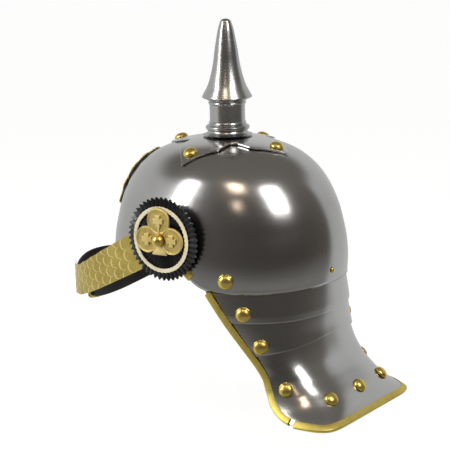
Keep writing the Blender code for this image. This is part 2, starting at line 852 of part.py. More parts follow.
def strap_way(inset, past):
    """Points of the way from behind one cockade round the front, about evenly spaced."""
    fine = [Vector((STRAP_SIDE, STRAP_BEHIND, 0))]
    for i in range(STRAP_TURN_STEPS + 1):
        run = 180 * i / STRAP_TURN_STEPS
        point = strap_plan(min(run, 180 - run), inset)
        if run > 90:
            point.x = -point.x
        fine.append(point)
    way = [fine[0]]
    places = [0.0]
    for point in fine[1:]:
        step = (point - way[-1]).length
        if step < STRAP_STEP:
            continue
        way.append(point)
        places.append(places[-1] + step)
        if point.y < -STRAP_FRONT / 2 and point.x < past:
            break
    return way, places


def strap_rows(way, places, heights, widths, thickness, sign, bump=None):
    """Sections of a strap along its way, each a flat loop of corners."""
    rows = []
    last = len(way) - 1
    lanes = (-0.5, 0, 0.5) if bump else (-0.5, 0.5)
    for i, point in enumerate(way):
        ahead = (way[min(i + 1, last)] - way[max(i - 1, 0)]).normalized()
        rise = heights[min(i + 1, last)] - heights[max(i - 1, 0)]
        run = places[min(i + 1, last)] - places[max(i - 1, 0)]
        slope = math.atan2(rise, run)
        outward = Vector((-ahead.y, ahead.x, 0))
        if outward.dot(Vector((point.x, point.y + STRAP_FRONT / 2, 0))) < 0:
            outward = -outward
        across = Vector((0, 0, 1)) * math.cos(slope) - ahead * math.sin(slope)
        centre = Vector((point.x, point.y, heights[i]))
        inner = [centre + across * widths[i] * lane for lane in lanes]
        lift = [thickness + (bump(places[i], lane) if bump else 0.0) for lane in lanes]
        outer = [low + outward * high for low, high in zip(inner, lift)]
        loop = inner + outer[::-1]
        rows.append([Vector((sign * p.x, p.y, p.z)) for p in loop])
    return rows


def build_strap_piece(name, rows, finish):
    """Skin a strap's sections and close its ends."""
    maker = bmesh.new()
    made = skin(maker, rows, True)
    half = len(rows[0]) // 2
    for end in (made[0], made[-1]):
        for i in range(half - 1):
            maker.faces.new((end[i], end[i + 1], end[-i - 2], end[-i - 1]))
    add_piece(name, maker, finish)


def scale_bump(place, lane):
    """Rise of the overlapping scales: each row climbs, then steps down to the next."""
    row = (place / SCALE_PITCH + SCALE_SHIFT_RATIO * math.cos(2 * math.pi * lane)) % 1.0
    return SCALE_STEP * (1 - row)


def strap_heights(way, slope, dip):
    """Heights of a strap's middle: it falls evenly towards the front, and dips there."""
    heights = []
    for point in way:
        forward = max(0.0, -point.y) / STRAP_FRONT
        heights.append(COCKADE_HEIGHT + slope * point.y - dip * forward**DIP_CURVE_RATIO)
    return heights


def strap_widths(places, end):
    """Widths of a strap, narrowing towards its end."""
    return [STRAP - (STRAP - end) * (place / places[-1]) ** TAPER_CURVE_RATIO for place in places]


def build_chin_strap():
    """Lead both halves of the chin strap round the front and over each other."""
    tuck = PLAY_RATIO * (LEATHER + SCALE_BRASS + SCALE_STEP + 3 * CLEARANCE)
    halves = (
        ("left", 1, 0.0, TONGUE_SLOPE_RATIO, -TONGUE_RISE, TONGUE, -TONGUE_END, TONGUE_BARE),
        ("right", -1, tuck, STRAP_SLOPE_RATIO, STRAP_DIP, STRAP_END, -STRAP_OVERLAP, -STRAP_OVERLAP),
    )
    for side, sign, inset, slope, dip, end, leather_end, scales_end in halves:
        way, places = strap_way(inset, leather_end)
        heights = strap_heights(way, slope, dip)
        widths = strap_widths(places, end)
        rows = strap_rows(way, places, heights, widths, LEATHER, sign)
        build_strap_piece("chin_leather_" + side, rows, LEATHER_FINISH)
        first = next(i for i, place in enumerate(places) if place > COCKADE / 2)
        last = len(way)
        for i, point in enumerate(way):
            if point.y < -STRAP_FRONT / 2 and point.x < scales_end:
                last = i + 1
                break
        lifted = [strap_lifted(point, way, i) for i, point in enumerate(way)]
        rows = strap_rows(
            lifted[first:last],
            places[first:last],
            heights[first:last],
            widths[first:last],
            SCALE_BRASS,
            sign,
            scale_bump,
        )
        build_strap_piece("chin_scales_" + side, rows, BRASS_FINISH)


def strap_lifted(point, way, i):
    """The same place on the way, moved out past the leather."""
    last = len(way) - 1
    ahead = (way[min(i + 1, last)] - way[max(i - 1, 0)]).normalized()
    outward = Vector((-ahead.y, ahead.x, 0))
    if outward.dot(Vector((point.x, point.y + STRAP_FRONT / 2, 0))) < 0:
        outward = -outward
    return point + outward * (LEATHER + CLEARANCE)


def front_point(across, up, lift):
    """A point on the skull's front, from its place on the unrolled plate."""
    height = FRONT_HEIGHT + up
    for _ in range(3):
        slope = surface_normal(skull_point, 0, FRONT_HEIGHT + up * 0.5).z
        height = FRONT_HEIGHT + up * math.sqrt(1 - slope**2)
    radius = skull_section(height)[1]
    turn = math.degrees(across / radius)
    normal = surface_normal(skull_point, turn, height)
    return skull_point(turn, height) + normal * lift


def build_front_plate():
    """Lay felt and a rayed brass plate on the skull's front."""
    steps = 2 * FRONT_RAYS
    plate_lift = SEAT + FELT + CLEARANCE
    layers = (
        ("front_backing", FELT_FINISH, SEAT, FELT, FELT_TIP_RATIO, FELT_HOLLOW_RATIO),
        ("front_plate", BRASS_FINISH, plate_lift, FRONT_BRASS, 1.0, PLATE_HOLLOW_RATIO),
    )
    for name, finish, lift, thick, tip, hollow in layers:
        maker = bmesh.new()
        rows = []
        for share in FRONT_ROWS:
            row = []
            for i in range(steps):
                angle = 2 * math.pi * i / steps
                reach = FRONT_PLATE / 2 * share
                if share == FRONT_ROWS[-1]:
                    reach *= tip if i % 2 == 0 else hollow
                row.append(front_point(reach * math.cos(angle), reach * math.sin(angle), lift))
            rows.append(row)
        made = skin(maker, rows, True)
        maker.faces.new(made[0])
        add_piece(name, maker, finish, thick, True)


def main():
    """Build the whole helmet."""
    clear_scene()
    build_skull()
    build_plate("lame_upper", 0, LAME_ROWS)
    build_plate("lame_lower", 1, LAME_ROWS)
    build_plate("neck_guard", 2, GUARD_ROWS)
    build_skull_edging()
    build_tail_edgings()
    build_rim_edging()
    build_spike_base()
    build_spike()
    build_studs()
    build_cockades()
    build_chin_strap()
    build_front_plate()


main()
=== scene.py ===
"""Looks of the spiked steel helmet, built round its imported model, in metres."""

import math

import bmesh
import bpy
from mathutils import Matrix, Vector


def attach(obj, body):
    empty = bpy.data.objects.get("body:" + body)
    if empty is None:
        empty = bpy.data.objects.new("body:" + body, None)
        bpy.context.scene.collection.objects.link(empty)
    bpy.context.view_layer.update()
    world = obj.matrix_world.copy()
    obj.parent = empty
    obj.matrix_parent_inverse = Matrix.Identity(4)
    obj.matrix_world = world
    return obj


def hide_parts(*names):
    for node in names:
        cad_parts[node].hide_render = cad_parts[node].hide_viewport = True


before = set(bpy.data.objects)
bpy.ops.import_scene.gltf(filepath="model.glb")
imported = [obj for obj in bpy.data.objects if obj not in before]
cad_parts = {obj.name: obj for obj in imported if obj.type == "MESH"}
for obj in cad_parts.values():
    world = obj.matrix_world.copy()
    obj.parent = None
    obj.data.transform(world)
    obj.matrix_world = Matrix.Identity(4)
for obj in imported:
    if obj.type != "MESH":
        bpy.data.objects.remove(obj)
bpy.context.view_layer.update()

# Skull
# A deep dome raised from one sheet of steel, cut higher at the temples than at the back and
# flared a little over the brow. It is polished bright, with fine brush marks running round it.
SKULL_LENGTH = 0.2430
SKULL_WIDTH = 0.2000
DOME_HEIGHT = 0.1310
STEEL = 0.0012
CLEARANCE = 0.0003
VISOR_FLARE = 0.30
SKULL_COLUMNS = 240
SKULL_ROWS = 72
ROWS_CURVE = 1.5
# Turn and rise over which a surface's slope is taken, how near corners are joined, and least size
SLOPE_TURN = 0.4
SLOPE_RISE = 0.0004
JOIN = 0.00002
SLIVER = 0.000005
LEAST = 1e-6
# Degrees past which an edge shades sharp or is softened, and the steps of a softened edge
EDGE_SHARP = 35
SOFT_FROM = 50
SOFT_STEPS = 3
# Sections: height, width and length as shares, and squareness
SKULL_SECTIONS = (
    (0.00, 0.985, 0.985, 2.20),
    (0.10, 0.997, 0.997, 2.15),
    (0.20, 1.000, 1.000, 2.10),
    (0.30, 0.993, 0.993, 2.05),
    (0.40, 0.977, 0.975, 2.00),
    (0.50, 0.950, 0.945, 2.00),
    (0.60, 0.912, 0.900, 2.00),
    (0.70, 0.857, 0.838, 2.00),
    (0.80, 0.775, 0.745, 2.00),
    (0.90, 0.630, 0.590, 2.00),
    (0.95, 0.485, 0.440, 2.00),
    (1.00, 0.000, 0.000, 2.00),
)
# Lower edge: degrees from the front, and height as a share of the dome
SKULL_EDGE = (
    (0.0, -0.075),
    (30.0, -0.055),
    (50.0, 0.010),
    (65.0, 0.095),
    (80.0, 0.170),
    (91.0, 0.190),
    (100.0, 0.140),
    (108.0, 0.050),
    (114.0, 0.012),
    (122.0, 0.000),
    (180.0, 0.000),
)


def smooth_value(table, column, place, squared=False):
    """Read one column of a table at a place along its first column, as a smooth curve."""
    rows = [(row[0], row[column] ** 2 if squared else row[column]) for row in table]
    place = min(max(place, rows[0][0]), rows[-1][0])
    last = len(rows) - 1
    index = 0
    while index < last - 1 and place > rows[index + 1][0]:
        index += 1
    (x0, y0), (x1, y1) = rows[index], rows[index + 1]
    span = x1 - x0
    chord = (y1 - y0) / span
    before = (y0 - rows[index - 1][1]) / (x0 - rows[index - 1][0]) if index else chord
    after = (rows[index + 2][1] - y1) / (rows[index + 2][0] - x1) if index + 2 <= last else chord
    leave = (before + chord) / 2 * span
    arrive = (after + chord) / 2 * span
    t = (place - x0) / span
    value = (
        (2 * t**3 - 3 * t**2 + 1) * y0
        + (t**3 - 2 * t**2 + t) * leave
        + (3 * t**2 - 2 * t**3) * y1
        + (t**3 - t**2) * arrive
    )
    return math.sqrt(max(value, 0.0)) if squared else value


def oval_radius(half_width, half_length, squareness, turn):
    """Distance from the axis to a squared oval, turn degrees from the front."""
    across = abs(math.sin(math.radians(turn))) / half_width
    along = abs(math.cos(math.radians(turn))) / half_length
    return (across**squareness + along**squareness) ** (-1 / squareness)


def signed_power(value, power):
    """A power of a value's size, with the value's own sign."""
    return math.copysign(abs(value) ** power, value)


def skull_edge(turn):
    """Height of the skull's lower edge."""
    away = abs((turn + 180) % 360 - 180)
    return DOME_HEIGHT * smooth_value(SKULL_EDGE, 1, away)


def skull_section(height):
    """Half width, half length and squareness of the skull at a height."""
    share = height / DOME_HEIGHT
    half_width = SKULL_WIDTH / 2 * smooth_value(SKULL_SECTIONS, 1, share, True)
    half_length = SKULL_LENGTH / 2 * smooth_value(SKULL_SECTIONS, 2, share, True)
    squareness = smooth_value(SKULL_SECTIONS, 3, share)
    return max(half_width, LEAST), max(half_length, LEAST), squareness


def skull_point(turn, height):
    """A point of the skull's outer face."""
    radius = oval_radius(*skull_section(height), turn)
    radius += VISOR_FLARE * max(0.0, -height)
    angle = math.radians(turn)
    return Vector((radius * math.sin(angle), -radius * math.cos(angle), height))


def surface_normal(surface, turn, height):
    """Outward normal of a surface given by turn and height."""
    sideways = surface(turn + SLOPE_TURN, height) - surface(turn - SLOPE_TURN, height)
    upward = surface(turn, height + SLOPE_RISE) - surface(turn, height - SLOPE_RISE)
    return sideways.cross(upward).normalized()


def sheet(columns, rows, shape):
    """A grid whose corners go where shape(across, along), both from 0 to 1, puts them."""
    mesh = bmesh.new()
    bmesh.ops.create_grid(mesh, x_segments=columns, y_segments=rows, size=0.5)
    for corner in mesh.verts:
        corner.co = shape(corner.co.x + 0.5, corner.co.y + 0.5)
    bmesh.ops.remove_doubles(mesh, verts=mesh.verts, dist=JOIN)
    bmesh.ops.dissolve_degenerate(mesh, dist=SLIVER, edges=mesh.edges)
    return mesh


def put(mesh, matrix):
    """Move a mesh to its place."""
    bmesh.ops.transform(mesh, verts=mesh.verts, matrix=matrix)
    return mesh


def placed(name, data):
    """Make an object of some data and put it into the scene."""
    made = bpy.data.objects.new(name, data)
    bpy.context.scene.collection.objects.link(made)
    return made


def finished(name, mesh, finish, slot, *nodes, wall=0.0, outward=False, soften=0.0, sharp=EDGE_SHARP):
    """Turn a mesh into a piece of the helmet, with its wall, finish and place in the frame."""
    bmesh.ops.recalc_face_normals(mesh, faces=mesh.faces)
    data = bpy.data.meshes.new(name)
    mesh.to_mesh(data)
    mesh.free()
    data.shade_smooth()
    data.set_sharp_from_angle(angle=math.radians(sharp))
    data.materials.append(finish)
    made = placed(name, data)
    if wall:
        solid = made.modifiers.new("wall", "SOLIDIFY")
        solid.thickness = wall
        solid.offset = 1.0 if outward else -1.0
        solid.use_even_offset = True
    if soften:
        edge = made.modifiers.new("soft_edges", "BEVEL")
        edge.width = soften
        edge.segments = SOFT_STEPS
        edge.limit_method = "ANGLE"
        edge.angle_limit = math.radians(SOFT_FROM)
    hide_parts(*nodes)
    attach(made, "root")
    return made


class Wire:
    """A value on its way through the nodes of a finish."""

    def __init__(self, tree, socket=None):
        self.tree = tree
        self.socket = socket

    def add(self, kind, settings=None, inputs=None, out=0):
        """Add a node: its settings first, then what goes into its sockets."""
        node = self.tree.nodes.new(kind)
        for name, value in (settings or {}).items():
            setattr(node, name, value)
        for name, value in (inputs or {}).items():
            if isinstance(value, Wire):
                self.tree.links.new(value.socket, node.inputs[name])
            else:
                node.inputs[name].default_value = value
        return Wire(self.tree, node.outputs[out])

    def sum_of(self, operation, first, second):
        """Work out two values with one operation."""
        return self.add("ShaderNodeMath", {"operation": operation}, {0: first, 1: second})

    def __add__(self, other):
        return self.sum_of("ADD", self, other)

    def __radd__(self, other):
        return self.sum_of("ADD", other, self)

    def __sub__(self, other):
        return self.sum_of("SUBTRACT", self, other)

    def __rsub__(self, other):
        return self.sum_of("SUBTRACT", other, self)

    def __mul__(self, other):
        return self.sum_of("MULTIPLY", self, other)

    def __rmul__(self, other):
        return self.sum_of("MULTIPLY", other, self)

    def __pow__(self, other):
        return self.sum_of("POWER", self, other)

    def mix(self, first, second):
        """Blend two colours, with this value as the share of the second."""
        inputs = {0: self, 6: first, 7: second}
        return self.add("ShaderNodeMix", {"data_type": "RGBA", "clamp_factor": True}, inputs, 2)

    def bump(self, strength, distance):
        """Take this value as a height, and give the shading normal that goes with it."""
        inputs = {"Height": self, "Strength": strength, "Distance": distance}
        return self.add("ShaderNodeBump", {}, inputs)


def open_finish(name, metallic, roughness, **sockets):
    """Start a material, and return it with its shader and its object coordinates."""
    material = bpy.data.materials.new(name)
    material.use_nodes = True
    shader = material.node_tree.nodes["Principled BSDF"]
    shader.inputs["Metallic"].default_value = metallic
    shader.inputs["Roughness"].default_value = roughness
    for socket, value in sockets.items():
        shader.inputs[socket.replace("_", " ")].default_value = value
    place = Wire(material.node_tree).add("ShaderNodeTexCoord", out="Object")
    return material, shader, place


def noise(place, scale, detail=3.0, stretch=(1, 1, 1)):
    """Noise from 0 to 1, stretched along the axes with a small number."""
    spread = place.add("ShaderNodeMapping", {}, {"Vector": place, "Scale": stretch})
    return place.add("ShaderNodeTexNoise", {}, {"Vector": spread, "Scale": scale, "Detail": detail})


def feed(shader, **sources):
    """Lead varying values into a shader's sockets."""
    for name, wire in sources.items():
        shader.id_data.links.new(wire.socket, shader.inputs[name.replace("_", " ")])


def steel_finish(name, light, dark, rough):
    """Polished steel with brush marks round it, a few scratches and a breath of brown tarnish."""
    material, shader, place = open_finish(name, 1.0, rough)
    brushing = noise(place, scale=90, detail=4, stretch=(0.35, 0.35, 14))
    cloud = noise(place, scale=9, detail=4)
    scratch = noise(place, scale=240, detail=2, stretch=(0.06, 1, 0.5)) ** 9
    colour = (cloud ** 2 * 1.6).mix(light, dark)
    feed(
        shader,
        Base_Color=colour,
        Roughness=rough - 0.03 + brushing * 0.05 + cloud * 0.05 + scratch * 0.3,
        Normal=(brushing + scratch).bump(0.10, 0.0002),
    )
    return material


skull_steel = steel_finish("skull_steel", (0.58, 0.58, 0.575, 1), (0.42, 0.40, 0.375, 1), 0.19)


def skull_shape(across, along):
    """Place of a point on the skull, from its way round and its way up."""
    turn = 360 * across
    edge = skull_edge(turn)
    share = 1 - (1 - along) ** ROWS_CURVE
    return skull_point(turn, edge + (DOME_HEIGHT - edge) * share)


shell = sheet(SKULL_COLUMNS, SKULL_ROWS, skull_shape)
finished("skull_shell", shell, skull_steel, "steel", "skull", wall=STEEL)

# Tail
# Two narrow lames and a broad flared neck guard, each of sheet steel and tucked under the one
# above, so that the tail can be riveted together down its sides. The lower edges are rounded off.
TAIL_DROP = 0.1170
RIM_WIDTH = 0.1650
RIM_REACH = 0.1670
LAP = 0.0080
PLAY = 1.4
NEST = STEEL + PLAY * CLEARANCE
UPPER_LAME = 0.0280
LOWER_LAME_BACK = 0.0220
LOWER_LAME_SIDE = 0.0330
LAME_CURVE = 1.5
PLATE_EDGE = 0.0004
TAIL_COLUMNS = 140
# Plates: node, which one it is from the skull down, and its rows of facets
PLATES = (("lame_upper", 0, 24), ("lame_lower", 1, 24), ("neck_guard", 2, 64))
# Sections: depth share, how far width and reach have gone from skull to rim, squareness, front edge
TAIL_SECTIONS = (
    (0.000, 0.00, 0.00, 2.20, 0.245),
    (0.240, 0.22, -0.01, 2.50, 0.350),
    (0.430, 0.56, -0.01, 2.90, 0.437),
    (0.590, 0.95, 0.12, 3.20, 0.507),
    (0.700, 1.28, 0.34, 3.40, 0.545),
    (0.760, 1.36, 0.50, 3.60, 0.560),
    (0.820, 1.38, 0.66, 3.90, 0.580),
    (0.906, 1.26, 0.84, 5.00, 0.625),
    (0.966, 1.08, 0.95, 7.00, 0.700),
    (1.000, 1.00, 1.00, 8.50, 0.785),
)


def tail_section(height):
    """Half width, reach, squareness and front edge of the tail at a height."""
    depth = -height / TAIL_DROP
    skull_half, skull_reach, square = skull_section(max(height, 0.0))
    if height < 0:
        square = smooth_value(TAIL_SECTIONS, 3, depth)
    wide = smooth_value(TAIL_SECTIONS, 1, depth)
    reach = smooth_value(TAIL_SECTIONS, 2, depth)
    half_width = skull_half + (RIM_WIDTH / 2 - skull_half) * wide
    back = skull_reach + (RIM_REACH - skull_reach) * reach
    return half_width, back, square, RIM_REACH * smooth_value(TAIL_SECTIONS, 4, depth)


def tail_point(turn, height, inset=0.0):
    """A point of the tail, turn degrees from the front, inset towards the inside."""
    half_width, back, square, _ = tail_section(height)
    radius = oval_radius(half_width, back, square, turn)
    angle = math.radians(turn)
    x, y = radius * math.sin(angle), -radius * math.cos(angle)
    aside = signed_power(x / half_width, square - 1) / half_width
    out = Vector((aside, signed_power(y / back, square - 1) / back, 0))
    return Vector((x, y, height)) - out.normalized() * inset


def tail_front_turn(height):
    """Degrees from the front at which the tail's front edge lies."""
    half_width, back, square, front = tail_section(height)
    side = half_width * (1 - (front / back) ** square) ** (1 / square)
    return math.degrees(math.atan2(side, -front))


def tail_turn(share, height):
    """Degrees from the front, for a share from -1 (left front edge) to 1 (right)."""
    return 180 + share * (180 - tail_front_turn(height))


def line_height(line, share):
    """Height of the lower edge of a plate: 0 skull, 1 upper lame, 2 lower lame, 3 guard."""
    lower = LOWER_LAME_BACK + (LOWER_LAME_SIDE - LOWER_LAME_BACK) * abs(share) ** LAME_CURVE
    return (0.0, -UPPER_LAME, -UPPER_LAME - lower, -TAIL_DROP)[line]


def plate_shape(line):
    """The shape of one plate of the tail, nested under the plate above it."""

    def shape(across, along):
        share = 2 * across - 1
        above = line_height(line, share)
        below = line_height(line + 1, share)
        height = above + LAP + (below - above - LAP) * along
        taper = min(above - below, LOWER_LAME_BACK)
        tucked = max(0.0, (height - above + taper) / taper)
        return tail_point(tail_turn(share, min(height, 0.0)), height, NEST * tucked)

    return shape


tail_steel = steel_finish("tail_steel", (0.60, 0.60, 0.585, 1), (0.44, 0.42, 0.39, 1), 0.19)
for name, line, rows in PLATES:
    plate = sheet(TAIL_COLUMNS, rows, plate_shape(line))
    finished(name + "_plate", plate, tail_steel, "steel", name, wall=STEEL, soften=PLATE_EDGE)

# Brass edging
# Strips of sheet brass folded over the raw steel edges and hammered close: one round the front
# of the skull from temple to temple, one down each front edge of the tail, and one along its rim.
BRASS = 0.0008
EDGING_HEIGHT = 0.0068
RIM_EDGING_HEIGHT = 0.0055
RIM_GAP = 0.0007
PLATE_STACK = 0.0034
EDGING_TURN = 105.0
EDGING_TOP = 0.0018
CORNER = 0.985
LIP = 0.0002
LIP_FALL = 0.0004
CHEEK = 0.4
FOLD_STEPS = 8
FOLD_SQUARE = 0.7
FOLD_SHARP = 50
# Stations along each strip, and how far from one of them its way and its inside are taken
FRONT_STATIONS = 140
SIDE_STATIONS = 70
RIM_STATIONS = 90
FRONT_TURN = 1.0
FRONT_INSIDE = 0.009
SIDE_BELOW = 0.002
SIDE_ABOVE = 0.0015
SIDE_INSIDE_TURN = 4.0
RIM_TURN = 0.5


def brass_finish(name, light, dark, rough, fleck=160):
    """Polished brass that has browned in clouds, with small handling marks."""
    material, shader, place = open_finish(name, 1.0, rough)
    cloud = noise(place, scale=34, detail=5)
    speck = noise(place, scale=fleck * 6, detail=3) ** 5
    wear = noise(place, scale=fleck, detail=3)
    stain = (cloud * 1.9 - 0.42) * wear * 1.5
    feed(
        shader,
        Base_Color=stain.mix(light, dark),
        Roughness=rough - 0.05 + cloud * 0.10 + speck * 1.6,
        Normal=(wear + speck * 2).bump(0.16, 0.0003),
    )
    return material


edging_brass = brass_finish("edging_brass", (1.0, 0.84, 0.24, 1), (0.74, 0.56, 0.12, 1), 0.46)


def folded_section(wall, height):
    """Corners of a folded strip round an edge, as places out from it and up from it."""
    outer = RIM_GAP + BRASS
    half = wall / 2 + outer
    middle = -wall / 2
    corners = [(outer - LIP, height), (outer, height - LIP_FALL), (outer, height * CHEEK)]
    for step in range(FOLD_STEPS + 1):
        angle = math.pi * step / FOLD_STEPS
        lean = signed_power(math.cos(angle), FOLD_SQUARE)
        corners.append((middle + half * lean, -outer * math.sin(angle) ** FOLD_SQUARE))
    corners += [(-wall - outer, height * CHEEK), (-wall - outer, height), (-wall - RIM_GAP, height)]
    corners += [(-wall - RIM_GAP, -RIM_GAP), (RIM_GAP, -RIM_GAP), (RIM_GAP, height)]
    return corners


def folded_strip(name, stations, wall, height, *nodes):
    """Fold a strip round an edge whose stations are its point, its way and the plate inside it."""
    section = folded_section(wall, height)
    count = len(section)

    def shape(across, along):
        point, way, inside = stations[round(along * (len(stations) - 1))]
        out, up = section[round(across * count) % count]
        normal = way.cross(inside - point).normalized()
        inward = normal.cross(way).normalized()
        if normal.dot(Vector((point.x, point.y, 0))) < 0:
            normal = -normal
        if inward.dot(inside - point) < 0:
            inward = -inward
        return point + normal * out + inward * up

    strip = sheet(count, len(stations) - 1, shape)
    bmesh.ops.holes_fill(strip, edges=[edge for edge in strip.edges if edge.is_boundary])
    finished(name, strip, edging_brass, "edging_brass", *nodes, sharp=FOLD_SHARP)


stations = []
for step in range(2 * FRONT_STATIONS + 1):
    turn = EDGING_TURN * (step / FRONT_STATIONS - 1)
    edge = skull_edge(turn)
    before, after = turn - FRONT_TURN, turn + FRONT_TURN
    way = skull_point(after, skull_edge(after)) - skull_point(before, skull_edge(before))
    stations.append((skull_point(turn, edge), way, skull_point(turn, edge + FRONT_INSIDE)))
folded_strip("skull_binding", stations, STEEL, EDGING_HEIGHT, "skull_edging")

for side, sign in (("left", -1), ("right", 1)):
    stations = []
    for step in range(SIDE_STATIONS + 1):
        height = -EDGING_TOP + (EDGING_TOP - CORNER * TAIL_DROP) * step / SIDE_STATIONS
        below = max(height - SIDE_BELOW, -TAIL_DROP)
        above = height + SIDE_ABOVE
        way = tail_point(tail_turn(sign, above), above) - tail_point(tail_turn(sign, below), below)
        inside = tail_point(tail_turn(sign, height) - sign * SIDE_INSIDE_TURN, height)
        stations.append((tail_point(tail_turn(sign, height), height), way, inside))
    folded_strip("tail_binding_" + side, stations, PLATE_STACK, RIM_EDGING_HEIGHT, "tail_edging_" + side)

stations = []
for step in range(2 * RIM_STATIONS + 1):
    share = step / RIM_STATIONS - 1
    turn = tail_turn(share, -TAIL_DROP)
    inside_height = RIM_EDGING_HEIGHT - TAIL_DROP
    way = tail_point(turn + RIM_TURN, -TAIL_DROP) - tail_point(turn - RIM_TURN, -TAIL_DROP)
    inside = tail_point(tail_turn(share, inside_height), inside_height)
    stations.append((tail_point(turn, -TAIL_DROP), way, inside))
folded_strip("rim_binding", stations, STEEL, RIM_EDGING_HEIGHT, "rim_edging")

# Spike base
# A steel plate with four pointed arms, hammered to the crown and filleted between the arms. Its
# edge stands up square and thin, and four domed brass studs screw it down through the skull.
BASE_STEEL = 0.0015
BASE_SEAT = 0.0008
BASE_ARM = 0.0240
BASE_SHOULDER = 0.0460
BASE_POINT = 0.0720
BASE_FILLET = 0.0070
BASE_STUD_PLACE = 0.0580
BASE_COLUMNS = 256
BASE_ROWS = 22
BASE_EDGE = 0.0003
HALVINGS = 26
ARM_MIDDLE = 0.01


def dome_height(x, y):
    """Height of the dome's outer face above a point of the plan."""
    low, high = 0.0, DOME_HEIGHT
    turn = math.degrees(math.atan2(x, -y))
    reach = math.hypot(x, y)
    for _ in range(HALVINGS):
        middle = (low + high) / 2
        if oval_radius(*skull_section(middle), turn) < reach:
            high = middle
        else:
            low = middle
    return (low + high) / 2


def arm_reach(turn):
    """Distance from the axis to the plate's outline."""
    off = (turn + math.pi / 4) % (math.pi / 2) - math.pi / 4
    side = abs(math.sin(off))
    slope = BASE_ARM / (BASE_POINT - BASE_SHOULDER)
    reach = slope * BASE_POINT / (side + slope * math.cos(off))
    if side > ARM_MIDDLE:
        reach = min(reach, BASE_ARM / side)
    centre = (BASE_ARM + BASE_FILLET) * math.sqrt(2)
    across = centre * math.sin(math.pi / 4 - abs(off))
    if across < BASE_FILLET:
        near = centre * math.cos(math.pi / 4 - abs(off)) - math.sqrt(BASE_FILLET**2 - across**2)
        reach = max(reach, near) if near < centre else reach
    return reach


def base_shape(across, along):
    """Place of a point on the underside of the base plate."""
    turn = 2 * math.pi * across
    reach = arm_reach(turn) * along
    x, y = reach * math.cos(turn), reach * math.sin(turn)
    return Vector((x, y, dome_height(x, y) + BASE_SEAT))


base_steel = steel_finish("base_steel", (0.70, 0.70, 0.69, 1), (0.52, 0.50, 0.47, 1), 0.19)
base = sheet(BASE_COLUMNS, BASE_ROWS, base_shape)
walled = {"wall": BASE_STEEL, "outward": True, "soften": BASE_EDGE}
finished("base_plate", base, base_steel, "steel", "spike_base", **walled)

# Spike
# Turned steel: a spreading foot, a rounded ring, a straight neck between two small beads, a
# sharp-lipped flare, and a long cone that ends in a rounded tip.
SPIKE_HEIGHT = 0.1120
SPIKE_RADIUS = 0.0247
SPIKE_FACETS = 96
CONE_STEPS = 40
TIP_STEPS = 8
SPIKE_SHARP = 30
TURNED_JOIN = 0.00001
TURNED_SLIVER = 0.000002
# Foot and neck: radius and height, as shares of the spike's own
SPIKE_FOOT = (
    (1.000, 0.000),
    (0.930, 0.004),
    (0.850, 0.012),
    (0.795, 0.024),
    (0.780, 0.036),
    (0.825, 0.042),
    (0.868, 0.053),
    (0.876, 0.063),
    (0.858, 0.074),
    (0.800, 0.082),
    (0.735, 0.086),
    (0.730, 0.094),
    (0.748, 0.102),
    (0.735, 0.110),
    (0.705, 0.116),
    (0.700, 0.190),
    (0.705, 0.262),
    (0.738, 0.268),
    (0.748, 0.276),
    (0.738, 0.284),
    (0.725, 0.288),
    (0.760, 0.298),
    (0.850, 0.310),
    (0.975, 0.321),
    (1.000, 0.328),
    (0.985, 0.335),
)
# Cone: height and radius, as shares
SPIKE_CONE = (
    (0.335, 0.985),
    (0.372, 0.895),
    (0.426, 0.765),
    (0.524, 0.625),
    (0.625, 0.525),
    (0.727, 0.460),
    (0.826, 0.383),
    (0.930, 0.285),
    (0.968, 0.225),
)


def spun(profile, steps):
    """Spin a profile of radius and height round Z, merged at its seam and its poles."""
    mesh = bmesh.new()
    corners = [mesh.verts.new((radius, 0, height)) for radius, height in profile]
    edges = [mesh.edges.new(pair) for pair in zip(corners, corners[1:])]
    bmesh.ops.spin(
        mesh,
        geom=corners + edges,
        cent=(0, 0, 0),
        axis=(0, 0, 1),
        angle=2 * math.pi,
        steps=steps,
        use_merge=True,
    )
    bmesh.ops.remove_doubles(mesh, verts=mesh.verts, dist=TURNED_JOIN)
    bmesh.ops.dissolve_degenerate(mesh, dist=TURNED_SLIVER, edges=mesh.edges)
    bmesh.ops.recalc_face_normals(mesh, faces=mesh.faces)
    return mesh


spike_seat = DOME_HEIGHT + BASE_SEAT + BASE_STEEL + CLEARANCE
profile = [(0.0, spike_seat)]
profile += [(SPIKE_RADIUS * r, spike_seat + SPIKE_HEIGHT * h) for r, h in SPIKE_FOOT]
for step in range(1, CONE_STEPS + 1):
    share = SPIKE_CONE[0][0] + (SPIKE_CONE[-1][0] - SPIKE_CONE[0][0]) * step / CONE_STEPS
    radius = SPIKE_RADIUS * smooth_value(SPIKE_CONE, 1, share)
    profile.append((radius, spike_seat + SPIKE_HEIGHT * share))
tip_radius, tip_height = profile[-1]
for step in range(1, TIP_STEPS + 1):
    angle = math.pi / 2 * step / TIP_STEPS
    rise = (spike_seat + SPIKE_HEIGHT - tip_height) * math.sin(angle)
    profile.append((max(tip_radius * math.cos(angle), 0.0), tip_height + rise))
spike_steel = steel_finish("spike_steel", (0.54, 0.54, 0.535, 1), (0.42, 0.40, 0.375, 1), 0.25)
finished("spike_turned", spun(profile, SPIKE_FACETS), spike_steel, "steel", "spike", sharp=SPIKE_SHARP)

# Studs and rivets
# Domed heads of brass: four on the base, three down each side where the skull and the lames are
# riveted together, five along the guard, and a small one low on the skull's back.
STUD = 0.0140
STUD_RISE = 0.0046
SIDE_RIVET = 0.0150
SIDE_RIVET_RISE = 0.0052
SMALL_RIVET = 0.0056
SMALL_RIVET_RISE = 0.0018
HEAD_FACETS = 48
HEAD_SHARP = 60
SEAT_FACETS = 12
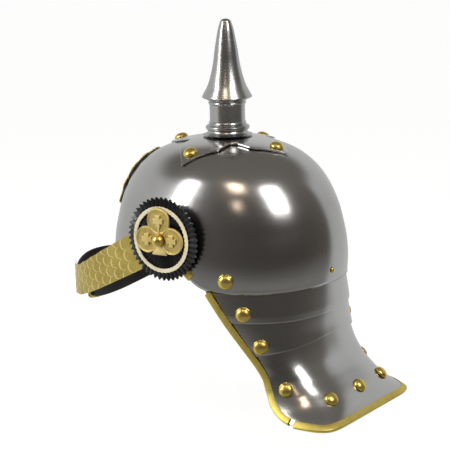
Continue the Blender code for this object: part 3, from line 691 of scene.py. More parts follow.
# Foot and rim of a head: radius and rise as shares; then its dome
HEAD_RIM = ((0.0, 0.0), (0.97, 0.0), (1.0, 0.06), (0.985, 0.14))
HEAD_DOME = 0.965
HEAD_DOME_FOOT = 0.12
HEAD_DOME_START = 6.0
HEAD_DOME_STEPS = 12
# The wearer's left side is towards +X
SIDES = (("left", 1), ("right", -1))
# Places: name, degrees past the side, and depth below the skull's edge as a share of the tail
SIDE_RIVETS = (("1", 34.7, -0.100), ("2", 42.9, 0.165), ("3", 50.5, 0.430))
GUARD_STUDS = (("side", 59.5, 0.765), ("corner", 73.2, 0.835))
GUARD_MIDDLE = 0.825
BACK_RIVET = -0.107

stud_brass = brass_finish("stud_brass", (0.98, 0.76, 0.22, 1), (0.70, 0.48, 0.10, 1), 0.26, 220)


def seat_lift(surface, point, normal, radius):
    """How far a flat-bottomed head must stand off a surface to clear it all round."""
    side = normal.orthogonal().normalized()
    lift = 0.0
    for step in range(SEAT_FACETS):
        spin = Matrix.Rotation(2 * math.pi * step / SEAT_FACETS, 3, normal)
        rim = point + spin @ side * radius
        under = surface(math.degrees(math.atan2(rim.x, -rim.y)), rim.z)
        lift = max(lift, (under - point).dot(normal))
    return lift + CLEARANCE


def head_mesh(across, rise):
    """A domed head with a thin rounded rim, standing on the plane at height 0."""
    radius = across / 2
    profile = [(radius * out, rise * up) for out, up in HEAD_RIM]
    for step in range(HEAD_DOME_STEPS):
        angle = math.radians(HEAD_DOME_START + (90 - HEAD_DOME_START) * step / HEAD_DOME_STEPS)
        up = HEAD_DOME_FOOT + (1 - HEAD_DOME_FOOT) * math.sin(angle)
        profile.append((radius * HEAD_DOME * math.cos(angle), rise * up))
    profile.append((0.0, rise))
    return spun(profile, HEAD_FACETS)


def stud(name, point, normal, across, rise, node):
    """Set a domed head on a point, along a normal."""
    turn = normal.to_track_quat("Z", "Y").to_matrix().to_4x4()
    mesh = put(head_mesh(across, rise), Matrix.Translation(point) @ turn)
    finished(name, mesh, stud_brass, "stud_brass", node, sharp=HEAD_SHARP)


for name, turn in (("front", 0), ("left", 90), ("back", 180), ("right", 270)):
    x = BASE_STUD_PLACE * math.sin(math.radians(turn))
    y = -BASE_STUD_PLACE * math.cos(math.radians(turn))
    height = dome_height(x, y)
    normal = surface_normal(skull_point, turn, height)
    point = Vector((x, y, height)) + normal * (BASE_SEAT + BASE_STEEL + CLEARANCE)
    stud("base_screw_" + name, point, normal, STUD, STUD_RISE, "base_stud_" + name)


def rivet(name, turn, depth, across, rise, node):
    """Set a head on the skull or the tail, at a depth below the skull's lower edge."""
    surface = skull_point if depth < 0 else tail_point
    height = -depth * TAIL_DROP
    point = surface(turn, height)
    normal = surface_normal(surface, turn, height)
    lift = seat_lift(surface, point, normal, across / 2)
    stud(name, point + normal * lift, normal, across, rise, node)


for side, sign in SIDES:
    for place, back, depth in SIDE_RIVETS:
        tag = side + "_" + place
        turn = sign * (90 + back)
        rivet("tail_rivet_" + tag, turn, depth, SIDE_RIVET, SIDE_RIVET_RISE, "side_rivet_" + tag)
    for place, back, depth in GUARD_STUDS:
        tag = side + "_" + place
        rivet("guard_head_" + tag, sign * (90 + back), depth, STUD, STUD_RISE, "guard_stud_" + tag)
rivet("guard_head_middle", 180, GUARD_MIDDLE, STUD, STUD_RISE, "guard_stud_middle")
rivet("small_back_rivet", 180, BACK_RIVET, SMALL_RIVET, SMALL_RIVET_RISE, "back_rivet")

# Cockades
# Round rosettes of lacquered leather folded into sharp pleats, with a pleated cream ring laid on
# them. They cover the ends of the chin strap at the temples, and a brass trefoil is set on each.
COCKADE = 0.0800
COCKADE_TEETH = 46
COCKADE_HEIGHT = 0.0484
COCKADE_FORWARD = -0.0015
COCKADE_TURN = 93.0
COCKADE_THICK = 0.0030
PLEAT = 0.0009
RING = 0.0633
RING_WIDE = 0.0042
RING_THICK = 0.0016
SEAT = 0.0005
STRAP_SIDE = SKULL_WIDTH / 2 + CLEARANCE + BRASS + SEAT
STRAP_BEHIND = 0.0080
LEATHER = 0.0020
# How a pleat is folded: its crest, its depth, and where its teeth and the rim's fall begin
PLEAT_CREST = 0.62
PLEAT_DEPTH = 1.4
HUB_SPREAD = 1.6
TOOTH_CUT = 0.07
TOOTH_START = 0.8
RIM_FALL_START = 0.82
RING_PINCH = 0.16
RING_SQUARE = 0.6
RING_FOLD = 0.0004
PLEAT_FACETS = 8
PLEAT_ROWS = 26
RING_ROWS = 16
PLEAT_SHARP = 25
RING_SHARP = 30


def cockade_matrix(sign, lift, lean=0.0):
    """Where a cockade's pieces stand: made along Z with +Y up, turned to the side, leaning forward."""
    angle = math.radians(COCKADE_TURN)
    out = STRAP_SIDE + LEATHER + 2 * CLEARANCE + STRAP_BEHIND * abs(math.cos(angle))
    outward = Vector((sign * math.sin(angle), -math.cos(angle), 0))
    middle = Vector((sign * out, -COCKADE_FORWARD, COCKADE_HEIGHT)) + outward * lift
    side = Vector((0, 0, 1)).cross(outward).normalized()
    turn = Matrix((side, Vector((0, 0, 1)), outward)).transposed()
    turn = Matrix.Rotation(math.copysign(math.radians(lean), outward.x), 3, outward) @ turn
    return Matrix.Translation(middle) @ turn.to_4x4()


def fold_at(turn, teeth):
    """How far down a pleat a place is: 0 on its crest, 1 in the fold, steeper on one side."""
    share = (turn * teeth / (2 * math.pi)) % 1.0
    past = share - PLEAT_CREST
    return past / (1 - PLEAT_CREST) if past >= 0 else -past / PLEAT_CREST


def disc(steps, rings, corner):
    """A closed round piece: corner(turn, share, front) gives its front, or else its flat back."""

    def shape(across, along):
        row = round(along * (rings + 2))
        front = row <= rings
        return corner(2 * math.pi * across, row / rings if front else rings + 2 - row, front)

    return sheet(steps, rings + 2, shape)


def pleat_corner(turn, share, front):
    """Pleated disc: flat at the hub, deep folds to a toothed edge."""
    fold = fold_at(turn, COCKADE_TEETH)
    tooth = max(0.0, share - TOOTH_START) / (1 - TOOTH_START)
    reach = COCKADE / 2 * share * (1 - TOOTH_CUT * fold * tooth)
    fall = max(0.0, share - RIM_FALL_START) / (1 - RIM_FALL_START)
    lift = COCKADE_THICK - PLEAT * (PLEAT_DEPTH * fold * min(1.0, share * HUB_SPREAD) + fall)
    return Vector((reach * math.cos(turn), reach * math.sin(turn), lift if front else 0.0))


def ring_shape(across, along):
    """Pleated ring, folded with the pleats under it."""
    turn = 2 * math.pi * across
    fold = fold_at(turn, COCKADE_TEETH)
    round_way = 2 * math.pi * along
    half = RING_WIDE / 2 * (1 - RING_PINCH * fold)
    radius = RING / 2 - RING_WIDE / 2 + half * signed_power(math.cos(round_way), RING_SQUARE)
    upward = math.sin(round_way)
    lift = RING_THICK / 2 * (1 + signed_power(upward, RING_SQUARE))
    lift -= RING_FOLD * fold if upward > 0 else 0.0
    return Vector((radius * math.cos(turn), radius * math.sin(turn), max(lift, 0.0)))


def pleat_finish():
    """Black lacquered leather: glossy on the crests, dusty in the folds, with a fine grain."""
    gloss = {"Coat_Roughness": 0.12, "Specular_IOR_Level": 0.3}
    material, shader, place = open_finish("lacquered_pleats", 0.0, 0.30, **gloss)
    grain = noise(place, scale=1400, detail=4)
    dust = noise(place, scale=60, detail=4)
    feed(
        shader,
        Base_Color=(dust ** 3 * 1.2).mix((0.007, 0.007, 0.009, 1), (0.035, 0.035, 0.040, 1)),
        Roughness=0.24 + dust * 0.22,
        Coat_Weight=0.15 + dust * 0.3,
        Normal=grain.bump(0.25, 0.0002),
    )
    return material


def cream_finish():
    """Cream leather cloth, matt, a little grubby and finely grained."""
    material, shader, place = open_finish("cream_cloth", 0.0, 0.62)
    grain = noise(place, scale=1800, detail=4)
    soil = noise(place, scale=90, detail=4)
    feed(
        shader,
        Base_Color=(soil ** 2 * 1.5).mix((0.86, 0.80, 0.60, 1), (0.60, 0.50, 0.30, 1)),
        Roughness=0.55 + grain * 0.2,
        Normal=grain.bump(0.3, 0.0002),
    )
    return material


lacquered_pleats = pleat_finish()
cream_cloth = cream_finish()
for side, sign in SIDES:
    pleats = disc(COCKADE_TEETH * PLEAT_FACETS, PLEAT_ROWS, pleat_corner)
    put(pleats, cockade_matrix(sign, 0.0))
    node = "cockade_" + side
    finished("pleats_" + side, pleats, lacquered_pleats, "pleated_leather", node, sharp=PLEAT_SHARP)
    ring = sheet(COCKADE_TEETH * PLEAT_FACETS, RING_ROWS, ring_shape)
    put(ring, cockade_matrix(sign, COCKADE_THICK + CLEARANCE))
    node = "cockade_ring_" + side
    finished("cream_ring_" + side, ring, cream_cloth, "cream_ring", node, sharp=RING_SHARP)

# Trefoils
# A stamped brass badge on each cockade: three round lobes with a raised rim, a stippled field and
# a plump cross in each, a short stem and a spreading foot, held by a domed boss in the middle.
LOBE = 0.0254
LOBE_UP = 0.0179
LOBE_SIDE = 0.0141
TREFOIL_THICK = 0.0012
TREFOIL_LEAN = 1.5
LOBES = ((0.0, LOBE_UP), (-LOBE_SIDE, 0.0), (LOBE_SIDE, 0.0))
HUB = 0.0078
RIDGE = 0.0009
LOBE_RELIEF = 0.0009
RIDGE_RISES = (0.0008, 0.0006)
FOOT_TOP = 0.0090
FOOT_BOTTOM = 0.0170
FOOT_START = 0.0070
FOOT_END = 0.0141
BOSS = 0.0123
BOSS_RISE = 0.0062
CROSS_ARM = 0.0057
CROSS_HALF = 0.0020
CROSS_SPREAD = 0.0029
CROSS_RISE = 0.0013
STEM_HALF = 0.0012
BADGE_COLUMNS = 360
BADGE_ROWS = 64
BADGE_ROWS_CURVE = 1.6
BADGE_SHARP = 60
CROSS_COLUMNS = 96
CROSS_ROWS = 10
CROSS_SQUARE = 8
CROSS_EDGE = 5
# How far the stem and the foot stand above the plate, and how much their edges are softened
STEM_RISE = 0.0007
STEM_SOFT = 0.0003
FOOT_RISE = 0.0006
FOOT_SOFT = 0.0004
STEM_START = 0.4
STEM_TAPER = 0.8


def badge_finish(name, light, dark, stipple, rough):
    """Stamped brass, clouded darker at random, with a punched field if it is stippled."""
    material, shader, place = open_finish(name, 1.0, 0.30)
    cloud = noise(place, scale=120, detail=4)
    cells = place.add("ShaderNodeTexVoronoi", {}, {"Vector": place, "Scale": 900}, "Distance")
    height = cells * stipple + cloud * 0.3
    feed(
        shader,
        Base_Color=(cloud ** 2 * 1.7).mix(light, dark),
        Roughness=rough + cloud * 0.14 + cells * (0.3 * stipple),
        Normal=height.bump(0.5, 0.0005),
    )
    return material


# Two copies of one brass: the darker one on the stippled field is painted shade, and the lighter one on
# the crosses, rims, stem and foot is painted highlight.
stippled_brass_painted_shade = badge_finish("stippled_brass_painted_shade", (0.80, 0.64, 0.24, 1), (0.52, 0.38, 0.10, 1), 1.0, 0.24)
brass_painted_highlight = badge_finish("brass_painted_highlight", (1.0, 0.86, 0.40, 1), (0.90, 0.68, 0.22, 1), 0.1, 0.42)


def badge_reach(turn):
    """Distance from the middle of the badge to its outline: round the hub or a lobe."""
    reach = HUB
    for x, y in LOBES:
        off = turn - math.atan2(y, x)
        far = math.hypot(x, y)
        room = (LOBE / 2) ** 2 - (far * math.sin(off)) ** 2
        if room > 0 and math.cos(off) > 0:
            reach = max(reach, far * math.cos(off) + math.sqrt(room))
    return reach


def ridge(depth, number):
    """Rise of one rounded ridge of the rim, at a depth inside the outline."""
    off = (depth - RIDGE * (number + 0.5)) / (RIDGE / 2)
    return RIDGE_RISES[number] * math.sqrt(max(0.0, 1 - off * off))


def outline_depth(x, y):
    """How deep inside the badge's outline a place lies."""
    return max([HUB - math.hypot(x, y)] + [LOBE / 2 - math.hypot(x - cx, y - cy) for cx, cy in LOBES])


def badge_corner(turn, share, front):
    """Stamped plate with two ridges along its outline, closer rows at its edge, and a flat back."""
    reach = badge_reach(turn) * (1 - (1 - share) ** BADGE_ROWS_CURVE)
    x, y = reach * math.cos(turn), reach * math.sin(turn)
    depth = outline_depth(x, y)
    lift = TREFOIL_THICK + ridge(depth, 0) + ridge(depth, 1)
    return Vector((x, y, lift if front else 0.0))


def cross_corner(turn, share, front):
    """A plump four-armed cross with a flat top, its arms wider at their ends."""
    off = abs((turn + math.pi / 4) % (math.pi / 2) - math.pi / 4)
    end = CROSS_ARM / math.cos(off)
    slope = (CROSS_SPREAD - CROSS_HALF) / (CROSS_ARM - CROSS_HALF)
    side = CROSS_HALF * (1 - slope) / max(math.sin(off) - slope * math.cos(off), LEAST)
    reach = (end**-CROSS_SQUARE + side**-CROSS_SQUARE) ** (-1 / CROSS_SQUARE) * (1 - (1 - share) ** 2)
    lift = CROSS_RISE * (1 - max(0.0, 2 * share - 1) ** CROSS_EDGE) if front else 0.0
    return Vector((reach * math.cos(turn), reach * math.sin(turn), lift))


def raised_plate(outline, thickness, soft):
    """A flat outline raised into a plate with softened edges."""
    mesh = bmesh.new()
    base = mesh.faces.new([mesh.verts.new((x, y, 0)) for x, y in outline])
    raised = bmesh.ops.extrude_face_region(mesh, geom=[base])
    moved = [item for item in raised["geom"] if isinstance(item, bmesh.types.BMVert)]
    bmesh.ops.translate(mesh, verts=moved, vec=(0, 0, thickness))
    bmesh.ops.recalc_face_normals(mesh, faces=mesh.faces)
    bmesh.ops.bevel(
        mesh,
        geom=list(mesh.edges),
        offset=soft,
        segments=SOFT_STEPS,
        profile=0.5,
        affect="EDGES",
        material=-1,
    )
    return mesh


def gathered(parts):
    """Put several meshes, each with its own place, into one."""
    whole = bmesh.new()
    for part, matrix in parts:
        put(part, matrix)
        data = bpy.data.meshes.new("part")
        part.to_mesh(data)
        part.free()
        whole.from_mesh(data)
        bpy.data.meshes.remove(data)
    return whole


# One side of the foot, from its top down to its toe
foot_side = (
    (FOOT_TOP * 0.50, -FOOT_START + 0.0020),
    (FOOT_TOP * 0.52, -FOOT_START - 0.0010),
    (FOOT_BOTTOM * 0.42, -FOOT_END + 0.0030),
    (FOOT_BOTTOM * 0.50, -FOOT_END + 0.0016),
    (FOOT_BOTTOM * 0.50, -FOOT_END),
)
foot_outline = [foot_side[0]] + [(-x, y) for x, y in foot_side] + list(reversed(foot_side[1:]))
stem_top = LOBE_UP - CROSS_ARM * STEM_TAPER
stem_outline = (
    (STEM_HALF, BOSS * STEM_START),
    (STEM_HALF * STEM_TAPER, stem_top),
    (-STEM_HALF * STEM_TAPER, stem_top),
    (-STEM_HALF, BOSS * STEM_START),
)
for side, sign in SIDES:
    lift = COCKADE_THICK + RING_THICK + 2 * CLEARANCE
    stand = cockade_matrix(sign, lift, TREFOIL_LEAN)
    badge = disc(BADGE_COLUMNS, BADGE_ROWS, badge_corner)
    for face in badge.faces:
        middle = face.calc_center_median()
        # Faces near the outline take the lighter brass, a painted highlight on the raised rim; the field
        # keeps the darker brass, painted shade.
        face.material_index = 1 if outline_depth(middle.x, middle.y) < 2 * RIDGE else 0
    put(badge, stand)
    node = "trefoil_" + side
    name = "trefoil_plate_" + side
    plate = finished(name, badge, stippled_brass_painted_shade, "badge_brass", node, sharp=BADGE_SHARP)
    plate.data.materials.append(brass_painted_highlight)
    raised = []
    for x, y in LOBES:
        cross = disc(CROSS_COLUMNS, CROSS_ROWS, cross_corner)
        raised.append((cross, stand @ Matrix.Translation((x, y, TREFOIL_THICK))))
    raised.append((raised_plate(stem_outline, TREFOIL_THICK + STEM_RISE, STEM_SOFT), stand))
    raised.append((raised_plate(foot_outline, TREFOIL_THICK + FOOT_RISE, FOOT_SOFT), stand))
    # The crosses, stem and foot wear the lighter brass, a painted highlight.
    finished("trefoil_crosses_" + side, gathered(raised), brass_painted_highlight, "badge_brass", node)
    boss_lift = lift + TREFOIL_THICK + LOBE_RELIEF + 2 * CLEARANCE
    boss = put(head_mesh(BOSS, BOSS_RISE), cockade_matrix(sign, boss_lift))
    node = "trefoil_boss_" + side
    finished("boss_" + side, boss, stud_brass, "stud_brass", node, sharp=HEAD_SHARP)

# Chin strap
# Two halves of black leather led from under the cockades round the front, one lying over the
# other, and faced with rows of small brass scales that overlap towards the front like a fish's.
STRAP = 0.0360
STRAP_END = 0.0270
TONGUE = 0.0220
SCALE_BRASS = 0.0009
SCALE_STEP = 0.0011
SCALES_START = 0.0400
SCALE_PITCH = 0.0100
SCALE_SIDE = 0.0120
SCALE_TIP = 0.0172
SCALE_SHEET = 0.00045
SCALE_SEAT = 0.00055
SCALE_TILT = 0.0007
SCALE_CROWN = 0.0005
SCALE_LIP = 0.00020
SCALE_LIP_WIDE = 0.0006
SCALE_ROWS = 9
# Rows at each scale's free end that wear the lighter brass, a painted highlight
SCALE_HIGHLIGHT_ROWS = 2
# Scales of a row: place across in thirds of the strap, and the part of the scale that shows
WHOLE_ROW = ((-1, -1.0, 1.0), (0, -1.0, 1.0), (1, -1.0, 1.0))
SHIFTED_ROW = ((-1.5, 0.0, 1.0), (-0.5, -1.0, 1.0), (0.5, -1.0, 1.0), (1.5, -1.0, 0.0))
STRAP_SLOPE = 0.460
TONGUE_SLOPE = 0.510
STRAP_DIP = 0.0180
TONGUE_RISE = 0.0270
# Where the halves end, and the left one's scales before that, across from the middle of the front
RIGHT_END = -0.0300
TONGUE_END = 0.0360
TONGUE_BARE = 0.0390
STRAP_MARGIN = 0.0015
END_PLATE_PAST = 0.0060
STRAP_FRONT = 0.1760
STRAP_STEP = 0.0020
STRAP_SQUARE = 2.35
DIP_CURVE = 8
TAPER_CURVE = 1.5
TURN_PARTS = 16
FIRST_SCALE_COLUMNS = 30
SCALE_COLUMNS = 8
SCALE_ROWS_CURVE = 1.6
END_COLUMNS = 24
END_ROWS = 12
LEATHER_ROW = 0.002
LEATHER_SHARP = 60
SCALE_SHARP = 40
# Corners of the leather's section: across as a share of its width, up as a share of its thickness
LEATHER_SECTION = ((-0.5, 0.3), (-0.485, 0.9), (-0.47, 1.0), (0.47, 1.0), (0.485, 0.9), (0.5, 0.7))
LEATHER_SECTION += ((0.5, 0.3), (0.485, 0.1), (0.47, 0.0), (-0.47, 0.0), (-0.485, 0.1), (-0.5, 0.3))
# The leather's rounded end: its length and fall as shares of the width, and its curve
END_ROUND = 0.42
END_FALL = 0.93
END_CURVE = 2.4


def strap_plan(run, inset):
    """Point of the strap's way round, in plan, from 0 at the side to 90 at the front."""
    angle = math.radians(run)
    power = 2 / STRAP_SQUARE
    x = STRAP_SIDE * math.cos(angle) ** power
    y = -(STRAP_FRONT - inset) * math.sin(angle) ** power
    return Vector((x, y, 0))


def strap_way(inset, past):
    """Points of the way from behind one cockade round the front, and how far along each is."""
    way = [Vector((STRAP_SIDE, STRAP_BEHIND, 0))]
    places = [0.0]
    for i in range(180 * TURN_PARTS + 1):
        run = i / TURN_PARTS
        point = strap_plan(min(run, 180 - run), inset)
        point.x = -point.x if run > 90 else point.x
        step = (point - way[-1]).length
        if step < STRAP_STEP:
            continue
        way.append(point)
        places.append(places[-1] + step)
        if point.y < -STRAP_FRONT / 2 and point.x < past:
            break
    return way, places


class Strap:
    """One half of the chin strap: where a place along it, across it and above it is."""

    def __init__(self, sign, inset, slope, dip, end, past):
        self.sign = sign
        self.way, self.places = strap_way(inset, past)
        self.length = self.places[-1]
        self.end = end
        self.heights = []
        for point in self.way:
            forward = max(0.0, -point.y) / STRAP_FRONT
            self.heights.append(COCKADE_HEIGHT + slope * point.y - dip * forward**DIP_CURVE)

    def width(self, place):
        """Width of the strap at a place along it."""
        return STRAP - (STRAP - self.end) * min(1.0, place / self.length) ** TAPER_CURVE

    def at(self, place, across, lift):
        """Point at a place along the strap, across it in metres and above its inner face."""
        place = min(max(place, 0.0), self.length - LEAST)
        i = min(int(place / self.length * (len(self.way) - 1)), len(self.way) - 2)
        while i > 0 and self.places[i] > place:
            i -= 1
        while i < len(self.way) - 2 and self.places[i + 1] <= place:
            i += 1
        share = (place - self.places[i]) / (self.places[i + 1] - self.places[i])
        here = self.frame(i)
        there = self.frame(i + 1)
        centre = here[0].lerp(there[0], share)
        outward = here[1].lerp(there[1], share).normalized()
        upward = here[2].lerp(there[2], share).normalized()
        point = centre + upward * across + outward * lift
        return Vector((self.sign * point.x, point.y, point.z))

    def frame(self, i):
        """Centre, outward and across directions at one station."""
        last = len(self.way) - 1
        low, high = max(i - 2, 0), min(i + 2, last)
        ahead = (self.way[high] - self.way[low]).normalized()
        slope = math.atan2(self.heights[high] - self.heights[low], self.places[high] - self.places[low])
        outward = Vector((-ahead.y, ahead.x, 0))
        point = self.way[i]
        if outward.dot(Vector((point.x, point.y + STRAP_FRONT / 2, 0))) < 0:
            outward = -outward
        upward = Vector((0, 0, 1)) * math.cos(slope) - ahead * math.sin(slope)
        return Vector((point.x, point.y, self.heights[i])), outward, upward


def leather_mesh(strap, length, margin):
    """A leather strip with rounded edges and a rounded end, narrower than its brass by a margin."""
    rows = int(length / LEATHER_ROW)
    count = len(LEATHER_SECTION)

    def shape(across, along):
        place = length * along
        width = strap.width(place) - 2 * margin
        beyond = max(0.0, place - length + width * END_ROUND) / (width * END_ROUND)
        width *= math.sqrt(max(0.0, 1 - END_FALL * min(1.0, beyond) ** END_CURVE))
        side, up = LEATHER_SECTION[round(across * count) % count]
        return strap.at(place, side * width, up * LEATHER)

    strip = sheet(count, rows, shape)
    bmesh.ops.holes_fill(strip, edges=[edge for edge in strip.edges if edge.is_boundary])
    return strip


def thickened(mesh, strap, start, across, side):
    """Give a sheet of brass its thickness, under its face if side is 1 and over it if side is -1."""
    bmesh.ops.recalc_face_normals(mesh, faces=mesh.faces)
    outward = strap.at(start, across, LEATHER) - strap.at(start, across, 0.0)
    mesh.faces.ensure_lookup_table()
    if mesh.faces[0].normal.dot(outward) * side < 0:
        bmesh.ops.reverse_faces(mesh, faces=mesh.faces)
    bmesh.ops.solidify(mesh, geom=mesh.faces[:], thickness=SCALE_SHEET)
    return mesh


def scale_mesh(strap, start, across, low, high, columns):
    """One crowned scale with a rounded free end, or the part of one from low to high across.

    A scale's own width goes from -1 to 1; past that the next ones of the same piece follow.
    """

    def shape(over, along):
        side = low + (high - low) * over
        place_in_scale = (side + 1) % 2 - 1 if high - low > 2 else side
        share = 1 - (1 - along) ** SCALE_ROWS_CURVE
        tip = SCALE_SIDE + (SCALE_TIP - SCALE_SIDE) * math.sqrt(max(0.0, 1 - place_in_scale**2))
        wide = strap.width(start + tip) / 6
        crown = SCALE_CROWN * (1 - place_in_scale**2) * share
        rim = SCALE_LIP * math.exp(-(((1 - share) * tip / SCALE_LIP_WIDE - 1) ** 2))
        lift = LEATHER + CLEARANCE + SCALE_SEAT + SCALE_TILT * share + crown + rim
        return strap.at(start + tip * share, across + side * wide, lift)

    mesh = bmesh.new()
    bmesh.ops.create_grid(mesh, x_segments=columns, y_segments=SCALE_ROWS, size=0.5)
    for face in mesh.faces:
        # The last rows towards the free end take the lighter brass: a painted highlight along the edge.
        face.material_index = int(face.calc_center_median().y > 0.5 - SCALE_HIGHLIGHT_ROWS / SCALE_ROWS)
    for vertex in mesh.verts:
        vertex.co = shape(vertex.co.x + 0.5, vertex.co.y + 0.5)
    return thickened(mesh, strap, start, across, 1)


def end_plate(strap, start):
    """The last plate of a half, as wide as the strap and rounded at its end."""

    def shape(over, along):
        side = 2 * over - 1
        half = strap.width(strap.length) / 2
        end = strap.length - half * (1 - math.sqrt(max(0.0, 1 - side * side)))
        place = start + (end - start) * along
        return strap.at(place, side * strap.width(place) / 2, LEATHER + CLEARANCE)

    return thickened(sheet(END_COLUMNS, END_ROWS, shape), strap, start, 0.0, -1)


def leather_finish():
    """Black strap leather, supple, scuffed grey here and there."""
    material, shader, place = open_finish("strap_leather", 0.0, 0.45, Specular_IOR_Level=0.25)
    grain = noise(place, scale=900, detail=5)
    scuff = noise(place, scale=55, detail=5)
    feed(
        shader,
        Base_Color=(scuff ** 3 * 1.6).mix((0.010, 0.009, 0.009, 1), (0.050, 0.045, 0.042, 1)),
        Roughness=0.34 + scuff * 0.22,
        Normal=grain.bump(0.35, 0.0003),
    )
    return material


strap_leather = leather_finish()
scale_brass = brass_finish("scale_brass", (0.70, 0.55, 0.15, 1), (0.40, 0.30, 0.06, 1), 0.20, 260)
# A lighter copy of the scale brass for the scales' free edges: painted highlight.
scale_edge_painted_highlight = brass_finish("scale_edge_painted_highlight", (1.0, 0.84, 0.44, 1), (0.86, 0.68, 0.28, 1), 0.50, 260)
tuck = PLAY * (LEATHER + SCALE_BRASS + SCALE_STEP + 3 * CLEARANCE)
halves = (
    ("left", Strap(1, 0.0, TONGUE_SLOPE, -TONGUE_RISE, TONGUE, -TONGUE_END), TONGUE_BARE, 0.0),
    ("right", Strap(-1, tuck, STRAP_SLOPE, STRAP_DIP, STRAP_END, RIGHT_END), RIGHT_END, END_PLATE_PAST),
)
for side, strap, scales_end, past in halves:
    leather = leather_mesh(strap, strap.length - past, STRAP_MARGIN)
    node = "chin_leather_" + side
    finished("chin_strap_" + side, leather, strap_leather, "leather", node, sharp=LEATHER_SHARP)
    stop = strap.length
    for point, far in zip(strap.way, strap.places):
        if point.y < -STRAP_FRONT / 2 and point.x < scales_end:
            stop = far
            break
    place = SCALES_START
    scales = [scale_mesh(strap, place, 0.0, -3.0, 3.0, FIRST_SCALE_COLUMNS)]
    row = 1
    while place + SCALE_PITCH + SCALE_TIP < stop:
        place += SCALE_PITCH
        third = strap.width(place + SCALE_SIDE) / 3
        for shift, low, high in WHOLE_ROW if row % 2 == 0 else SHIFTED_ROW:
            scales.append(scale_mesh(strap, place, shift * third, low, high, SCALE_COLUMNS))
        row += 1
    if past:
        scales.append(end_plate(strap, place))
    node = "chin_scales_" + side
    name = "chin_scale_rows_" + side
    faced = gathered([(scale, Matrix.Identity(4)) for scale in scales])
    rows = finished(name, faced, scale_brass, "scale_brass", node, sharp=SCALE_SHARP)
    # The second finish, on the free edges, is the painted highlight.
    rows.data.materials.append(scale_edge_painted_highlight)

# Front plate
# A rayed brass plate on a felt backing, screwed to the front of the skull. Only its edge shows
# from the side, so its face is plain rays round a smooth middle.
FRONT_PLATE = 0.0940
FRONT_HEIGHT = 0.0800
FRONT_RAYS = 14
FRONT_BRASS = 0.0010
FELT = 0.0020
FELT_TIP = 0.96
FELT_HOLLOW = 0.88
PLATE_HOLLOW = 0.86
PLATE_RELIEF = 0.0016
PLATE_SHARP = 20
PLATE_COLUMNS = 168
FELT_ROWS = 12
PLATE_ROWS = 24
FRONT_ROUNDS = 3
# The smooth middle: its reach as a share, and its rise as a multiple of the rays'
MIDDLE = 0.38
MIDDLE_RISE = 1.5


def front_point(across, up, lift):
    """A point on the skull's front, from its place on the unrolled plate."""
    height = FRONT_HEIGHT + up
    for _ in range(FRONT_ROUNDS):
        slope = surface_normal(skull_point, 0, FRONT_HEIGHT + up * 0.5).z
        height = FRONT_HEIGHT + up * math.sqrt(1 - slope**2)
    radius = skull_section(height)[1]
    turn = math.degrees(across / radius)
    return skull_point(turn, height) + surface_normal(skull_point, turn, height) * lift


def rayed_shape(tip, valley, lift, relief):
    """The shape of a rayed disc on the skull's front, with ridges along its rays."""

    def shape(across, along):
        turn = 2 * math.pi * across
        between = abs((across * FRONT_RAYS) % 1.0 - 0.5) * 2
        reach = FRONT_PLATE / 2 * along * (valley + (tip - valley) * between * min(1.0, along * 2))
        past = max(0.0, along - MIDDLE) / (1 - MIDDLE)
        ridge = relief * between * max(0.0, math.sin(math.pi * past))
        middle = relief * MIDDLE_RISE * math.sqrt(max(0.0, 1 - (along / MIDDLE) ** 2))
        return front_point(reach * math.cos(turn), reach * math.sin(turn), lift + ridge + middle)

    return shape


def felt_finish():
    """Black felt, matt and fuzzy."""
    material, shader, place = open_finish("black_felt", 0.0, 0.95, Sheen_Weight=0.4)
    fuzz = noise(place, scale=2600, detail=5)
    feed(
        shader,
        Base_Color=fuzz.mix((0.008, 0.008, 0.008, 1), (0.030, 0.029, 0.028, 1)),
        Normal=fuzz.bump(0.7, 0.0005),
    )
    return material


felt = sheet(PLATE_COLUMNS, FELT_ROWS, rayed_shape(FELT_TIP, FELT_HOLLOW, SEAT, 0.0))
finished("felt_backing", felt, felt_finish(), "felt", "front_backing", wall=FELT, outward=True)
plate_lift = SEAT + FELT + CLEARANCE
rays = sheet(PLATE_COLUMNS, PLATE_ROWS, rayed_shape(1.0, PLATE_HOLLOW, plate_lift, PLATE_RELIEF))
walled = {"wall": FRONT_BRASS, "outward": True, "sharp": PLATE_SHARP}
# The plate wears the lighter badge brass, the copy made as a painted highlight.
finished("rayed_plate", rays, brass_painted_highlight, "badge_brass", "front_plate", **walled)

# Floor, light and camera
# A plain pale floor that fades into a pale surround, soft boxes to both sides and above, and the
# camera at the photograph's angle.
FLOOR_DROP = 0.165
FLOOR_RADIUS = 30.0
FLOOR_SIDES = 96
FLOOR_GLOW = 0.88
FLOOR_TONES = ((0.30, 0.30, 0.30, 1), (0.29, 0.29, 0.29, 1))
BACKDROP = (0.64, 0.65, 0.65, 1)
BACKDROP_TURN = -36.0
BACKDROP_RISE = 0.0
BACKDROP_EDGE = 0.0
BACKDROP_EDGE_SOFT = 0.03
BACKDROP_TOP = 0.56
BACKDROP_TOP_SOFT = 0.12
# Tones of the room that the steel reflects: low, high, behind the camera and on the floor
ROOM_LOW = (0.10, 0.090, 0.080, 1)
ROOM_HIGH = (0.20, 0.190, 0.175, 1)
ROOM_NEAR = (0.075, 0.070, 0.064, 1)
ROOM_FLOOR = (0.28, 0.28, 0.27, 1)
